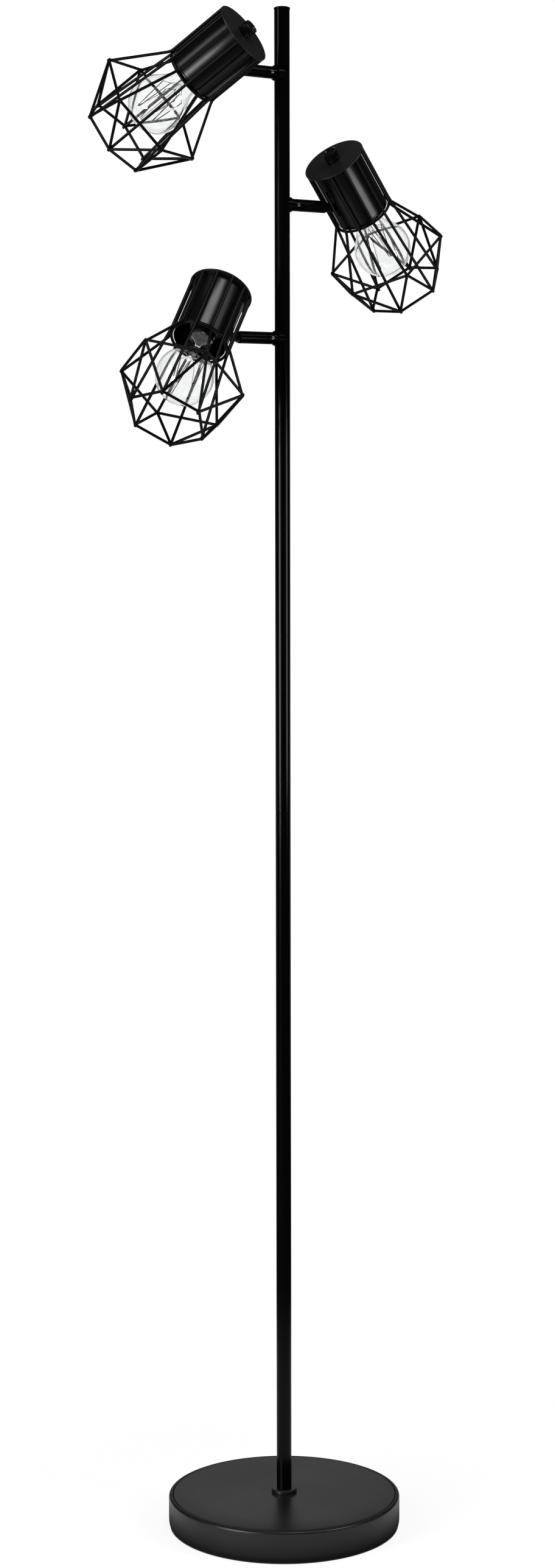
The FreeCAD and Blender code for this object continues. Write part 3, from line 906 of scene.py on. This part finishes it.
    def build(self, station: Station, dresser: Dresser) -> None:
        """Make the arm's pieces and seat them.

        Args:
            station: Where the arm stands.
            dresser: Seats the pieces.
        """
        name = station.name
        level = Matrix.Translation((0, 0, station.height * MM))
        for part, piece, finish, slot, node in (
                ("saddle", self.saddle(), Finishes.POLE_ENAMEL, "black_pole", "saddles"),
                ("barrel", self.knuckle(), Finishes.POLE_ENAMEL, "black_pole",
                 name + "_knuckle"),
                ("screw", self.screw(), Finishes.ZINC, "steel", "set_screws")):
            piece.name = f"{name}_{part}_skin"
            if station.side < 0:
                piece.data.transform(Matrix.Scale(-1, 4, Vector((1, 0, 0))))
                with editing(piece):
                    bpy.ops.mesh.flip_normals()
            dresser.seat(piece, level, finish, "stand", [node])
        tube = self.tube()
        tube.name = name + "_tube_skin"
        dresser.seat(tube, station.arm, Finishes.POLE_ENAMEL, name + "_arm",
                     [name + "_arm_tube"])


# -------------------------------------------------------------- the heads
@dataclass
class Cup:
    """Drawn cup with a beaded mouth and the tongue's slot."""

    radius: float = 28.0
    wall: float = 1.0
    top: float = 1.5
    end: float = 70.5
    neck: float = 5.0
    slot_width: float = 10.0
    slot_start: float = 20.0
    slot_end: float = 52.0
    bead: float = 3.2
    bead_depth: float = 0.35
    bead_slope: float = 0.5
    corner: float = 1.2
    edge: float = 0.3

    def build(self, station: Station, dresser: Dresser) -> None:
        """Turn the cup, mill its slot and seat it.

        Args:
            station: Where the head stands.
            dresser: Seats the piece.
        """
        inner, edge = self.radius - self.wall, self.edge
        bead_at, slope = self.end - self.bead, self.bead_slope
        rings = [(self.neck, self.top)]
        rings += fillet((self.radius, self.top), (0, self.top), (self.radius, self.end),
                        self.corner, steps=4)
        rings += [(self.radius, self.end / 2), (self.radius, bead_at - slope),
                  (self.radius - self.bead_depth, bead_at), (self.radius, bead_at + slope),
                  (self.radius, self.end - edge), (self.radius - edge, self.end),
                  (inner + 0.2, self.end), (inner, self.end - edge), (inner, self.end / 2),
                  (inner, self.top + self.wall), (self.neck, self.top + self.wall),
                  (self.neck, self.top)]
        cup = turned(station.name + "_cup_skin", rings, segments=128, ring_shaped=True)
        cut_with(cup, self.slot_cutter())
        dresser.seat(cup, station.head, Finishes.CUP_ENAMEL, station.name + "_head",
                     [station.name + "_cup"])

    def slot_cutter(self) -> bpy.types.Object:
        """Make the cutter of the slot: a bar with two round ends.

        Returns:
            The bar, across the cup's wall at +X.
        """
        half = self.slot_width / 2
        stretch = (self.slot_end - self.slot_start) / 2 - half
        middle = (self.slot_start + self.slot_end) / 2
        nothing_selected()
        bpy.ops.mesh.primitive_cylinder_add(vertices=48, radius=half * MM,
                                            depth=self.radius * MM)
        bar = bpy.context.object
        for vertex in bar.data.vertices:
            vertex.co.y += (stretch if vertex.co.y > 0 else -stretch) * MM
        for move in (Matrix.Rotation(math.pi / 2, 4, "Z"), Matrix.Rotation(math.pi / 2, 4, "Y"),
                     Matrix.Translation((self.radius * MM, 0, middle * MM))):
            bar.data.transform(move)
        return bar


@dataclass
class Cage:
    """Disc, straight stays, mouth ring and the faceted basket, all welded."""

    disc_radius: float = 33.5
    disc_thickness: float = 1.5
    neck: float = 5.0
    wire: float = 1.5
    stays: int = 12
    stay_circle: float = 31.9
    ring_circle: float = 29.9
    ring_sides: int = 72
    mouth: float = 71.0
    wide: float = 65.5
    wide_depth: float = 126.5
    front: float = 42.0
    front_depth: float = 174.0
    overrun: float = 2.6
    stay_bend: float = 4.0
    strut_bend: float = 1.6
    hexagon_bend: float = 2.4
    strut_inset: float = 0.4
    tuck: float = 1.3
    weld: float = 2.3
    weld_lumps: float = 0.22

    def corner(self, k: int, wide: bool, inwards: float = 0.0) -> Vector:
        """Return a corner of the wide or the front hexagon.

        Args:
            k: Number of the corner.
            wide: True for the wide hexagon, False for the front one.
            inwards: How far inside the corner the point lies.

        Returns:
            The point, in millimetres.
        """
        if wide:
            return polar(self.wide - inwards, 60 * k, self.wide_depth)
        return polar(self.front - inwards, 60 * k + 30, self.front_depth)

    def disc(self) -> bpy.types.Object:
        """Turn the pressed disc with its soft edge.

        Returns:
            The disc.
        """
        edge = self.disc_thickness / 2
        flat = self.disc_radius - edge
        rings = [(self.neck, self.disc_thickness), (self.neck, 0.0),
                 (self.disc_radius / 2, 0.0), (flat - 1.0, 0.0)]
        for degrees in range(-90, 91, 30):
            angle = math.radians(degrees)
            rings.append((flat + edge * math.cos(angle), edge + edge * math.sin(angle)))
        rings += [(flat - 1.0, self.disc_thickness), (self.neck, self.disc_thickness)]
        return turned("disc_blank", rings, segments=128, ring_shaped=True)

    def long_wires(self) -> list[list[Vector]]:
        """Return the twelve stays, each bent at the mouth and run to a corner.

        Returns:
            A run of points for each stay.
        """
        runs = []
        for k in range(self.stays):
            start = polar(self.stay_circle, 30 * k, self.disc_thickness * 0.6)
            knee = polar(self.stay_circle, 30 * k, self.mouth)
            goal = self.corner(k // 2, k % 2 == 0, self.tuck)
            way = (goal - knee).normalized()
            runs.append(softened([start, knee, goal + way * self.overrun], self.stay_bend))
        return runs

    def zigzag(self) -> list[Vector]:
        """Return the strut wire that runs between the two hexagons.

        Returns:
            One closed run of points.
        """
        points = [self.corner(k, wide, self.strut_inset)
                  for k in range(6) for wide in (True, False)]
        return softened(points, self.strut_bend, closed=True)

    def hexagon(self, wide: bool) -> list[Vector]:
        """Return one bent hexagon."""
        return softened([self.corner(k, wide) for k in range(6)], self.hexagon_bend, closed=True)

    def weld_spots(self) -> list[tuple[Vector, float]]:
        """Find where the wires are welded.

        Returns:
            The middle of each bead, with its share of the full size.
        """
        spots = [(self.corner(k, wide, self.tuck * 0.8), 1.0)
                 for k in range(6) for wide in (True, False)]
        for circle, depth, size in ((self.stay_circle - self.wire * 0.8, self.mouth, 0.62),
                                    (self.stay_circle, self.disc_thickness, 0.75)):
            spots += [(polar(circle, 30 * k, depth), size) for k in range(self.stays)]
        return spots

    def welds(self) -> bpy.types.Object:
        """Make the beads of weld metal at every joint of the wires.

        Returns:
            All the beads as one piece.
        """
        nothing_selected()
        bpy.ops.mesh.primitive_ico_sphere_add(subdivisions=3, radius=self.weld * MM)
        model = bpy.context.object
        with editing(model):
            bpy.ops.transform.vertex_random(offset=self.weld * self.weld_lumps * MM, seed=7)
            bpy.ops.mesh.vertices_smooth(factor=0.5, repeat=1)
        beads = []
        for number, (spot, size) in enumerate(self.weld_spots()):
            bead = model.copy()
            bead.data = model.data.copy()
            bpy.context.scene.collection.objects.link(bead)
            # Each copy is turned its own way, so that no two look alike.
            for move in (Matrix.Rotation(number * 1.3, 4, (0.3, 0.8, 0.5)),
                         Matrix.Scale(size, 4), Matrix.Translation(metres(spot))):
                bead.data.transform(move)
            beads.append(bead)
        bpy.data.objects.remove(model)
        return joined("welds_blank", beads)

    def build(self, station: Station, dresser: Dresser) -> None:
        """Bend and weld the cage and seat it.

        Args:
            station: Where the head stands.
            dresser: Seats the piece.
        """
        stays = wires("stays_blank", self.long_wires(), self.wire)
        hexagons = wires("hexagons_blank", [self.hexagon(True), self.hexagon(False)],
                         self.wire, closed=True)
        struts = wires("struts_blank", [self.zigzag()], self.wire, closed=True)
        ring = wires("ring_blank", [[polar(self.ring_circle, 360 * k / self.ring_sides, self.mouth)
                                     for k in range(self.ring_sides)]], self.wire, closed=True)
        cage = joined(station.name + "_cage_skin",
                      [stays, hexagons, struts, ring, self.welds()])
        disc = self.disc()
        disc.name = station.name + "_disc_skin"
        turn = Matrix.Rotation(math.radians(station.cage_turn), 4, "Z")
        for piece, finish, smooth in ((cage, Finishes.WIRE_ENAMEL, 50.0),
                                      (disc, Finishes.DISC_ENAMEL, 32.0)):
            dresser.seat(piece, station.head @ turn, finish, station.name + "_head",
                         [station.name + "_cage"], smooth)


@dataclass
class Knob:
    """Fluted knob with a dished end, on the switch's ring nut."""

    radius: float = 7.5
    height: float = 11.2
    gap: float = 0.3
    flutes: int = 24
    flute_sides: int = 6
    flute_depth: float = 0.4
    flute_sharpness: float = 0.7
    grip_start: float = 2.2
    dish: float = 5.6
    dish_depth: float = 1.6
    chamfer: float = 0.7
    edge: float = 0.3
    bore: float = 6.7
    bore_depth: float = 2.7

    def build(self, station: Station, dresser: Dresser) -> None:
        """Turn the knob, press its flutes in and seat it.

        Args:
            station: Where the head stands.
            dresser: Seats the piece.
        """
        tip, chamfer, edge = -self.height, self.chamfer, self.edge
        dish_floor = tip + self.dish_depth
        rings = [(self.dish / 2, dish_floor), (self.dish - 0.5, dish_floor),
                 (self.dish, dish_floor - 0.5), (self.dish, tip + edge), (self.dish + edge, tip),
                 (self.radius - chamfer, tip),
                 (self.radius - chamfer * 0.3, tip + chamfer * 0.3), (self.radius, tip + chamfer)]
        grip = (tip + chamfer + 0.8, tip + chamfer + 1.2, -self.grip_start - 0.4,
                -self.grip_start)
        rings += [(self.radius, height) for height in grip]
        rings += [(self.radius, -self.gap - edge), (self.radius - edge, -self.gap),
                  (self.bore, -self.gap), (self.bore, -self.bore_depth)]
        knob = turned(station.name + "_knob_skin", rings, segments=self.flutes * self.flute_sides)
        for vertex in knob.data.vertices:
            on_skin = vertex.co.xy.length > (self.radius - 0.05) * MM
            if on_skin and grip[1] - 0.05 < vertex.co.z / MM < grip[2] + 0.05:
                turn = math.atan2(vertex.co.y, vertex.co.x) * self.flutes
                press = self.flute_depth * MM * max(0.0, math.cos(turn)) ** self.flute_sharpness
                vertex.co.xy *= 1 - press / vertex.co.xy.length
        dresser.seat(knob, station.head, Finishes.MOULDED_ABS, station.name + "_knob",
                     [station.name + "_switch_knob"], 40.0)


@dataclass
class Lamp:
    """Clear filament lamp: glass, stem, supports, filaments and screw cap."""

    ball: float = 30.0
    centre: float = 118.0
    wall: float = 0.7
    start: float = 67.0
    cap_radius: float = 13.0
    neck: float = 14.2
    neck_end: float = 74.0
    shoulder_angle: float = -37.0
    neck_flare: float = 0.6
    neck_pull: float = 12.0
    shoulder_pull: float = 13.0
    shoulder_steps: int = 12
    floor: float = 40.6
    thread_start: float = 44.0
    pitch: float = 3.6
    thread_depth: float = 0.5
    turns: int = 3
    well: float = 11.6
    well_floor: float = 60.0
    stem_tip: float = 94.0
    filament: float = 0.5
    pairs: int = 3
    first_pair: float = 20.0
    low_ring: float = 14.5
    low_depth: float = 97.0
    low_spread: float = 30.0
    high_ring: float = 12.5
    high_depth: float = 136.0
    high_spread: float = 7.0
    support: float = 0.28

    def glass_rings(self, inset: float, steps: int) -> list[Ring]:
        """Return the glass's outline from the cap to the tip.

        Args:
            inset: Distance inside the outer surface.
            steps: Stretches along the ball.

        Returns:
            Radius and depth of each ring.
        """
        ball = self.ball - inset
        neck = self.neck - inset
        shoulder = math.radians(self.shoulder_angle)
        joint = Vector((ball * math.cos(shoulder), self.centre + ball * math.sin(shoulder)))
        low = Vector((neck, self.neck_end))
        rings: list[Ring] = [(self.cap_radius - inset, self.start), (neck, self.neck_end)]
        slope = Vector((-math.sin(shoulder), math.cos(shoulder)))
        pull_low = low + Vector((self.neck_flare, self.neck_pull))
        pull_high = joint - slope * self.shoulder_pull
        for step in range(1, self.shoulder_steps + 1):
            t = step / self.shoulder_steps
            point = (low * (1 - t) ** 3 + pull_low * (3 * t * (1 - t) ** 2)
                     + pull_high * (3 * t ** 2 * (1 - t)) + joint * t ** 3)
            rings.append((point.x, point.y))
        for step in range(1, steps):
            angle = shoulder + (math.pi / 2 - shoulder) * step / steps
            rings.append((ball * math.cos(angle), self.centre + ball * math.sin(angle)))
        rings.append((0.0, self.centre + ball))
        return rings

    def glass(self) -> bpy.types.Object:
        """Turn the envelope's outer and inner walls as one closed shell.

        Returns:
            The glass.
        """
        skin, lining = (
            turned(name, self.glass_rings(inset, steps=28), segments=96, ring_shaped=True)
            for name, inset in (("glass_outer", 0.0), ("glass_inner", self.wall)))
        with editing(lining):
            bpy.ops.mesh.normals_make_consistent(inside=True)
        glass = joined("glass_blank", [skin, lining])
        edit_edges(glass, lambda co: abs(co.z - self.start * MM) < MERGE_GAP)
        bpy.ops.mesh.bridge_edge_loops()
        bpy.ops.object.mode_set(mode="OBJECT")
        return glass

    def stem(self) -> bpy.types.Object:
        """Turn the glass stem: a hollow flare, the press and the rod to the hub.

        Returns:
            The stem.
        """
        inside = [(0.0, 12.0), (1.4, 11.4), (2.4, 9.0), (4.6, 5.2), (8.2, 1.9), (11.3, 0.1)]
        outside = [(12.2, 0.1), (12.2, 0.7), (9.0, 2.7), (5.5, 6.2), (3.4, 9.8), (2.6, 13.0),
                   (2.3, 16.0), (3.1, 18.0), (2.4, 20.0), (1.3, 21.5)]
        rings = [(radius, self.start + above) for radius, above in inside + outside]
        rings += [(1.2, self.stem_tip - 1.0), (0.9, self.stem_tip - 0.3), (0.0, self.stem_tip)]
        return turned("stem_blank", rings, segments=48)

    def feet(self) -> list[float]:
        """Return the angle of each pair of filaments, in degrees."""
        return [360.0 * k / self.pairs + self.first_pair for k in range(self.pairs)]

    def low_end(self, foot: float, way: int) -> Vector:
        """Return the end of a filament near the stem."""
        return polar(self.low_ring, foot + way * self.low_spread, self.low_depth)

    def high_end(self, foot: float, way: int) -> Vector:
        """Return the end of a filament near the glass's tip."""
        return polar(self.high_ring, foot + way * self.high_spread, self.high_depth)

    def filaments(self) -> list[list[Vector]]:
        """Return each filament's run, from the stem's side to the tip's side."""
        return [[self.low_end(foot, way), self.high_end(foot, way)]
                for foot in self.feet() for way in (-1, 1)]

    def supports(self) -> list[list[Vector]]:
        """Lead the thin wires that hold the filaments.

        Returns:
            A run of points for each wire.
        """
        runs = []
        hub = Vector((0.0, 0.0, self.stem_tip - 1.5))
        for foot in self.feet():
            crown = polar(self.high_ring + 0.4, foot, self.high_depth + 1.2)
            runs += [softened([self.high_end(foot, -1), crown, self.high_end(foot, 1)], 0.6),
                     softened([hub, polar(6.0, foot, hub.z + 12.0), crown], 4.0)]
            for way in (-1, 1):
                turn = foot + way * self.low_spread
                runs.append(softened([polar(2.0, turn, self.start + 17.5),
                                      polar(9.0, turn, self.low_depth - 3.5),
                                      self.low_end(foot, way)], 2.5))
        return runs

    def cap(self) -> bpy.types.Object:
        """Turn the screw cap with its rolled thread and solder tip.

        Returns:
            The screw cap.
        """
        core = self.cap_radius - self.thread_depth
        rings = [(3.2, self.floor), (4.8, self.floor + 0.2), (5.0, self.floor + 0.8),
                 (core - 2.4, self.thread_start - 1.4), (core - 0.6, self.thread_start - 0.6),
                 (core, self.thread_start)]
        for turn in range(self.turns):
            low = self.thread_start + turn * self.pitch
            for step in range(1, 9):
                swell = (1 - math.cos(math.pi * step / 4)) / 2
                rings.append((core + self.thread_depth * swell, low + self.pitch * step / 8))
        end = self.thread_start + self.turns * self.pitch
        rings += [(core, end), (self.cap_radius, end + 1.0), (self.cap_radius, self.start - 0.6),
                  (self.cap_radius - 0.3, self.start), (self.well, self.start),
                  (self.well, self.well_floor)]
        return turned("cap_blank", rings, segments=72)

    def insulator(self) -> bpy.types.Object:
        """Turn the black insulator that closes the cap's well.

        Returns:
            The insulator.
        """
        low = self.well_floor + 0.05
        rings = [(0.0, low), (self.well - 0.1, low), (self.well - 0.1, low + 1.6),
                 (self.well - 1.2, low + 1.2), (6.0, low + 0.8), (2.4, low + 0.8),
                 (1.8, low + 1.6), (0.0, low + 1.8)]
        return turned("insulator_blank", rings, segments=48)

    def build(self, station: Station, dresser: Dresser) -> None:
        """Make the lamp's pieces and seat them.

        Args:
            station: Where the head stands.
            dresser: Seats the pieces.
        """
        name = station.name
        for piece, ending, finish, slot, node, smooth in (
                (self.glass(), "_glass_skin", Finishes.BULB_GLASS, "clear_glass", "_lamp_glass",
                 60.0),
                (self.stem(), "_stem_glass", Finishes.STEM_GLASS, "filament_glass",
                 "_lamp_filament", 50.0),
                (wires(name + "_filaments", self.filaments(), self.filament), "_filaments",
                 Finishes.PHOSPHOR, "filament_glass", "_lamp_filament", 50.0),
                (wires(name + "_supports", self.supports(), self.support, sides=2), "_supports",
                 Finishes.SUPPORT_WIRE, "filament_glass", "_lamp_filament", 50.0),
                (self.insulator(), "_insulator", Finishes.PHENOLIC, "cap_metal", "_lamp_cap",
                 50.0),
                (self.cap(), "_cap_skin", Finishes.NICKEL, "cap_metal", "_lamp_cap", 50.0)):
            piece.name = name + ending
            dresser.seat(piece, station.head, finish, name + "_head", [name + node],
                         smooth)


@dataclass
class Holder:
    """Moulded lampholder: ribbed skirt, open towards the mouth."""

    radius: float = 16.0
    start: float = 18.0
    end: float = 54.0
    bore: float = 14.4
    floor: float = 40.0
    edge: float = 0.6
    ribs: int = 4
    first_rib: float = 6.0
    rib_pitch: float = 4.0
    rib_depth: float = 0.5

    def build(self, station: Station, dresser: Dresser) -> None:
        """Turn the holder and seat it.

        Args:
            station: Where the head stands.
            dresser: Seats the piece.
        """
        rings = [(self.radius - self.edge, self.start), (self.radius, self.start + self.edge)]
        for rib in range(self.ribs):
            low = self.start + self.first_rib + rib * self.rib_pitch
            rings += [(self.radius, low), (self.radius - self.rib_depth, low + 0.6),
                      (self.radius - self.rib_depth, low + 1.4), (self.radius, low + 2.0)]
        rings += [(self.radius, self.end - 0.5), (self.radius - 0.4, self.end),
                  (self.bore + 0.2, self.end), (self.bore, self.end - 0.2),
                  (self.bore, self.floor)]
        holder = turned(station.name + "_holder_skin", rings, segments=96)
        dresser.seat(holder, station.head, Finishes.PHENOLIC, station.name + "_head",
                     [station.name + "_lampholder"])


# ------------------------------------------------------- carried-over nodes
SLOT_FINISH: dict[str, Finishes] = {
    "black_pole": Finishes.POLE_ENAMEL, "black_base": Finishes.POWDER_COAT,
    "black_shade": Finishes.CUP_ENAMEL, "black_wire": Finishes.WIRE_ENAMEL,
    "steel": Finishes.ZINC, "weight_iron": Finishes.CAST_IRON, "felt": Finishes.FELT,
    "black_plastic": Finishes.PHENOLIC, "shell_brass": Finishes.BRASS,
    "cap_metal": Finishes.NICKEL, "clear_glass": Finishes.BULB_GLASS,
    "filament_glass": Finishes.PHOSPHOR, "lead_sheath": Finishes.SHEATH,
}
PAINTED_STEEL: tuple[str, ...] = ("arm_tongue", "hinge_pin", "hinge_strap")


def dress_nodes(frame: dict[str, Any]) -> None:
    """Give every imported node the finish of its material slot.
    """
    slots = {part["node"]: part["material_slot"] for part in frame["record"]["subparts"]}
    for name, node in frame["nodes"].items():
        finish = SLOT_FINISH[slots[name]]
        if name.endswith(PAINTED_STEEL):
            finish = Finishes.CUP_ENAMEL
        node.data.materials.clear()
        node.data.materials.append(finish.material())
    LOG.info("dressed %d packed nodes", len(frame["nodes"]))


# --------------------------------------------------------------- the studio
@dataclass(frozen=True)
class SoftLamp:
    """One soft panel lamp, which lights and isn't seen.

    Its place, aim and size are in metres, and its power is in watts.
    """

    name: str
    place: Point
    aim: Point
    size: tuple[float, float]
    power: float

    def hang(self) -> None:
        """Hang the lamp and turn it to its aim."""
        data = bpy.data.lights.new(self.name, "AREA")
        data.shape = "RECTANGLE"
        data.size, data.size_y = self.size
        data.energy = self.power
        lamp = bpy.data.objects.new(self.name, data)
        lamp.visible_transmission = False
        lamp.visible_camera = False
        bpy.context.scene.collection.objects.link(lamp)
        towards = Vector(self.aim) - Vector(self.place)
        lamp.matrix_world = (Matrix.Translation(self.place)
                             @ towards.to_track_quat("-Z", "Y").to_matrix().to_4x4())


LAMPS: tuple[SoftLamp, ...] = (
    SoftLamp("key", (-2.99, -0.21, 0.85), (0, 0, 1.0), (1.2, 0.8), 72.0),
    SoftLamp("key_high", (-2.66, 0.58, 2.38), (0, 0, 1.45), (1.3, 1.6), 29.0),
    SoftLamp("rim", (0.42, -0.92, 0.95), (0, 0, 1.0), (0.4, 0.5), 7.5),
    SoftLamp("rim_high", (1.14, -1.53, 2.83), (0, 0, 1.3), (0.9, 0.9), 7.0),
    SoftLamp("top", (-0.09, -0.64, 2.97), (0, 0, 1.0), (0.7, 0.7), 18.0),
    SoftLamp("back", (1.5, 1.83, 0.95), (0, 0, 0.0), (0.9, 0.45), 0.95),
    SoftLamp("back_high", (1.07, 1.42, 3.06), (0, 0, 1.45), (0.6, 0.6), 2.5),
)


@dataclass
class Studio:
    """Pale floor, white surround, soft lamps and the camera.

    Angles are in degrees, the camera's place and lens are in millimetres, and
    reaches on the floor are in metres from the lamp's middle. The backdrop is
    white for the eye everywhere, and mirrors show it only behind the lamp.
    """

    camera_at: Point = (-2035.7, -2469.0, 1145.6)
    heading: float = 39.4
    pitch: float = 6.034
    roll: float = 0.099
    lens: float = 69.818
    sensor: float = 36.0
    clip_end: float = 50.0
    surround: float = 1.0
    fill: float = 0.35
    room: float = 0.05
    horizon: float = 0.45
    sweep: tuple[float, float] = (0.02, 0.20)
    backdrop_sky: tuple[float, float] = (0.6, 1.0)
    backdrop_floor: tuple[float, float] = (0.5, 3.0)
    floor_size: float = 30.0
    floor_drop: float = 0.0002
    floor_white: float = 0.85
    floor_colour: str = "#fbfbfb"
    # Dark grey that mirrors see on the floor at the base's foot and beyond the lit ring: a painted
    # contact shadow and painted shade.
    unlit_colour: str = "#4c4c4c"
    shadow: tuple[float, float] = (0.12, 0.55)
    # Reaches in mirrors of the painted pale ring round the base: the painted contact shadow gives
    # way to it over lit, and it fades to painted shade over unlit.
    lit: tuple[float, float] = (0.125, 0.20)
    unlit: tuple[float, float] = (0.55, 0.95)

    def camera(self) -> None:
        """Set the camera at the photograph's place and angle."""
        data = bpy.data.cameras.new("camera")
        data.lens = self.lens
        data.sensor_width = self.sensor
        data.clip_end = self.clip_end
        camera = bpy.data.objects.new("camera", data)
        bpy.context.scene.collection.objects.link(camera)
        heading, pitch, roll = map(math.radians, (self.heading, self.pitch, self.roll))
        ahead = Vector((math.sin(heading) * math.cos(pitch),
                        math.cos(heading) * math.cos(pitch), -math.sin(pitch)))
        right = Vector((math.cos(heading), -math.sin(heading), 0.0))
        above = right.cross(ahead)
        rolled_right = right * math.cos(roll) - above * math.sin(roll)
        rolled_above = right * math.sin(roll) + above * math.cos(roll)
        camera.matrix_world = frame_matrix(rolled_right, rolled_above, -ahead,
                                           metres(self.camera_at))
        bpy.context.scene.camera = camera

    def rays(self, tree: bpy.types.NodeTree
             ) -> tuple[bpy.types.NodeSocket, bpy.types.NodeSocket]:
        """Tell rays apart, so that glass shows the backdrop and isn't a mirror.

        Args:
            tree: Node tree that gets the nodes.

        Returns:
            A socket that is 1 for what is seen, straight or through glass, and
            one that is 1 for what is mirrored.
        """
        path = add_node(tree, "ShaderNodeLightPath").outputs
        seen = add_node(tree, "ShaderNodeMath",
                        {0: path["Is Camera Ray"], 1: path["Is Transmission Ray"]},
                        operation="MAXIMUM")
        mirrored = add_node(tree, "ShaderNodeMath",
                            {0: path["Is Glossy Ray"], 1: path["Is Transmission Ray"]},
                            operation="SUBTRACT", use_clamp=True)
        return seen.outputs[0], mirrored.outputs[0]

    def behind(self, tree: bpy.types.NodeTree, place: bpy.types.NodeSocket, start: float,
               end: float) -> bpy.types.NodeSocket:
        """Say how far a place or a direction lies towards the white backdrop.

        Args:
            tree: Node tree that gets the nodes.
            place: The place or the direction.
            start: Distance along the backdrop's direction where the answer is 0.
            end: Distance where it is 1.

        Returns:
            The socket of the answer.
        """
        heading = math.radians(self.heading)
        along = add_node(tree, "ShaderNodeVectorMath",
                         {0: place, 1: (math.sin(heading), math.cos(heading), 0.0)},
                         operation="DOT_PRODUCT")
        share = add_node(tree, "ShaderNodeMapRange",
                         {"Value": along.outputs["Value"], "From Min": start, "From Max": end},
                         interpolation_type="SMOOTHSTEP")
        return share.outputs["Result"]

    def floor(self) -> None:
        """Lay the pale floor, which fades to plain white away from the lamp; in mirrors its colour
        carries painted light and shade.
        """
        nothing_selected()
        bpy.ops.mesh.primitive_plane_add(size=self.floor_size, location=(0, 0, -self.floor_drop))
        floor = bpy.context.object
        floor.name = "studio_floor"
        material, tree = blank_material("pale floor")
        where = add_node(tree, "ShaderNodeTexCoord").outputs["Object"]
        far = add_node(tree, "ShaderNodeVectorMath", {0: where}, operation="LENGTH")
        white, lit, unlit = (
            add_node(tree, "ShaderNodeMapRange",
                     {"Value": far.outputs["Value"], "From Min": reach[0], "From Max": reach[1],
                      "To Min": low, "To Max": high}, interpolation_type=curve).outputs["Result"]
            for reach, low, high, curve in ((self.shadow, self.floor_white, 1.0, "SMOOTHERSTEP"),
                                            (self.lit, 0.0, 1.0, "SMOOTHSTEP"),
                                            (self.unlit, 1.0, 0.0, "SMOOTHSTEP")))
        seen, mirrored = self.rays(tree)
        # How much of the floor is plain white: all that is seen but its shadow, and
        # in mirrors the part behind the lamp.
        amount = mirrored
        for operation, value in (
                ("MULTIPLY", self.behind(tree, where, *self.backdrop_floor)),
                ("MULTIPLY", self.horizon), ("MAXIMUM", seen), ("MULTIPLY", white)):
            amount = add_node(tree, "ShaderNodeMath", {0: amount, 1: value},
                              operation=operation).outputs[0]
        # In mirrors the floor's colour is painted. It is pale only in a ring round the base, as a
        # painted pool of lamp light. It is dark grey at the base's foot, as a painted contact
        # shadow, and dark grey beyond the ring, as painted shade.
        ring = mirrored
        for value in (lit, unlit):
            ring = add_node(tree, "ShaderNodeMath", {0: ring, 1: value},
                            operation="MULTIPLY").outputs[0]
        # Painted shade: 1 where mirrors see the floor dark grey, at the base's foot and beyond the
        # lit ring.
        painted_shade = add_node(tree, "ShaderNodeMath", {0: mirrored, 1: ring}, operation="SUBTRACT")
        pale = add_node(tree, "ShaderNodeMix",
                        {"Factor": painted_shade.outputs[0], "A": linear(self.floor_colour),
                         "B": linear(self.unlit_colour)}, data_type="RGBA")
        matt = add_node(tree, "ShaderNodeBsdfDiffuse", {"Color": pale.outputs["Result"]})
        glow = add_node(tree, "ShaderNodeEmission", {"Color": WHITE, "Strength": 1.0})
        mixed = add_node(tree, "ShaderNodeMixShader",
                         {0: amount, 1: matt.outputs[0], 2: glow.outputs[0]})
        add_node(tree, "ShaderNodeOutputMaterial", {"Surface": mixed.outputs[0]})
        floor.data.materials.append(material)

    def world(self) -> None:
        """Surround the lamp with white, dimmer as a source of light."""
        world = bpy.data.worlds.new("studio")
        bpy.context.scene.world = world
        world.use_nodes = True
        tree = world.node_tree
        tree.nodes.clear()
        seen, mirrored = self.rays(tree)
        where = add_node(tree, "ShaderNodeTexCoord").outputs["Generated"]
        height = add_node(tree, "ShaderNodeSeparateXYZ", {0: where})
        low = add_node(tree, "ShaderNodeMapRange",
                       {"Value": height.outputs["Z"], "From Min": self.sweep[0],
                        "From Max": self.sweep[1], "To Min": 1.0, "To Max": 0.0},
                       interpolation_type="SMOOTHSTEP")
        backdrop = add_node(tree, "ShaderNodeMath",
                            {0: low.outputs["Result"],
                             1: self.behind(tree, where, *self.backdrop_sky)},
                            operation="MULTIPLY")
        direct, reflected = (
            add_node(tree, "ShaderNodeMapRange",
                     {"Value": share, "To Min": dim, "To Max": bright}).outputs["Result"]
            for share, dim, bright in ((seen, self.fill, self.surround),
                                       (backdrop.outputs[0], self.room, self.horizon)))
        strength = add_node(tree, "ShaderNodeMix", {"Factor": mirrored, "A": direct,
                                                    "B": reflected})
        light = add_node(tree, "ShaderNodeBackground",
                         {"Color": WHITE, "Strength": strength.outputs["Result"]})
        add_node(tree, "ShaderNodeOutputWorld", {"Surface": light.outputs[0]})

    def build(self) -> None:
        """Set up the whole studio."""
        self.camera()
        self.floor()
        self.world()
        for lamp in LAMPS:
            lamp.hang()
        bpy.context.scene.view_settings.view_transform = "Standard"


def main() -> None:
    """Load the lamp, dress it and set up the studio."""
    logging.basicConfig(level=logging.INFO)
    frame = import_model()
    dress_nodes(frame)
    dresser = Dresser()
    Base().build(dresser)
    Pole().build(dresser)
    for name, turn in CAGE_TURNS.items():
        station = read_station(frame["joints"], name, turn, KNOB_OUT)
        for part in (Arm(), Cup(), Cage(), Knob(), Lamp(), Holder()):
            part.build(station, dresser)
    Studio().build()
    LOG.info("made %d pieces", len(dresser.done))


if __name__ == "__main__":
    main()
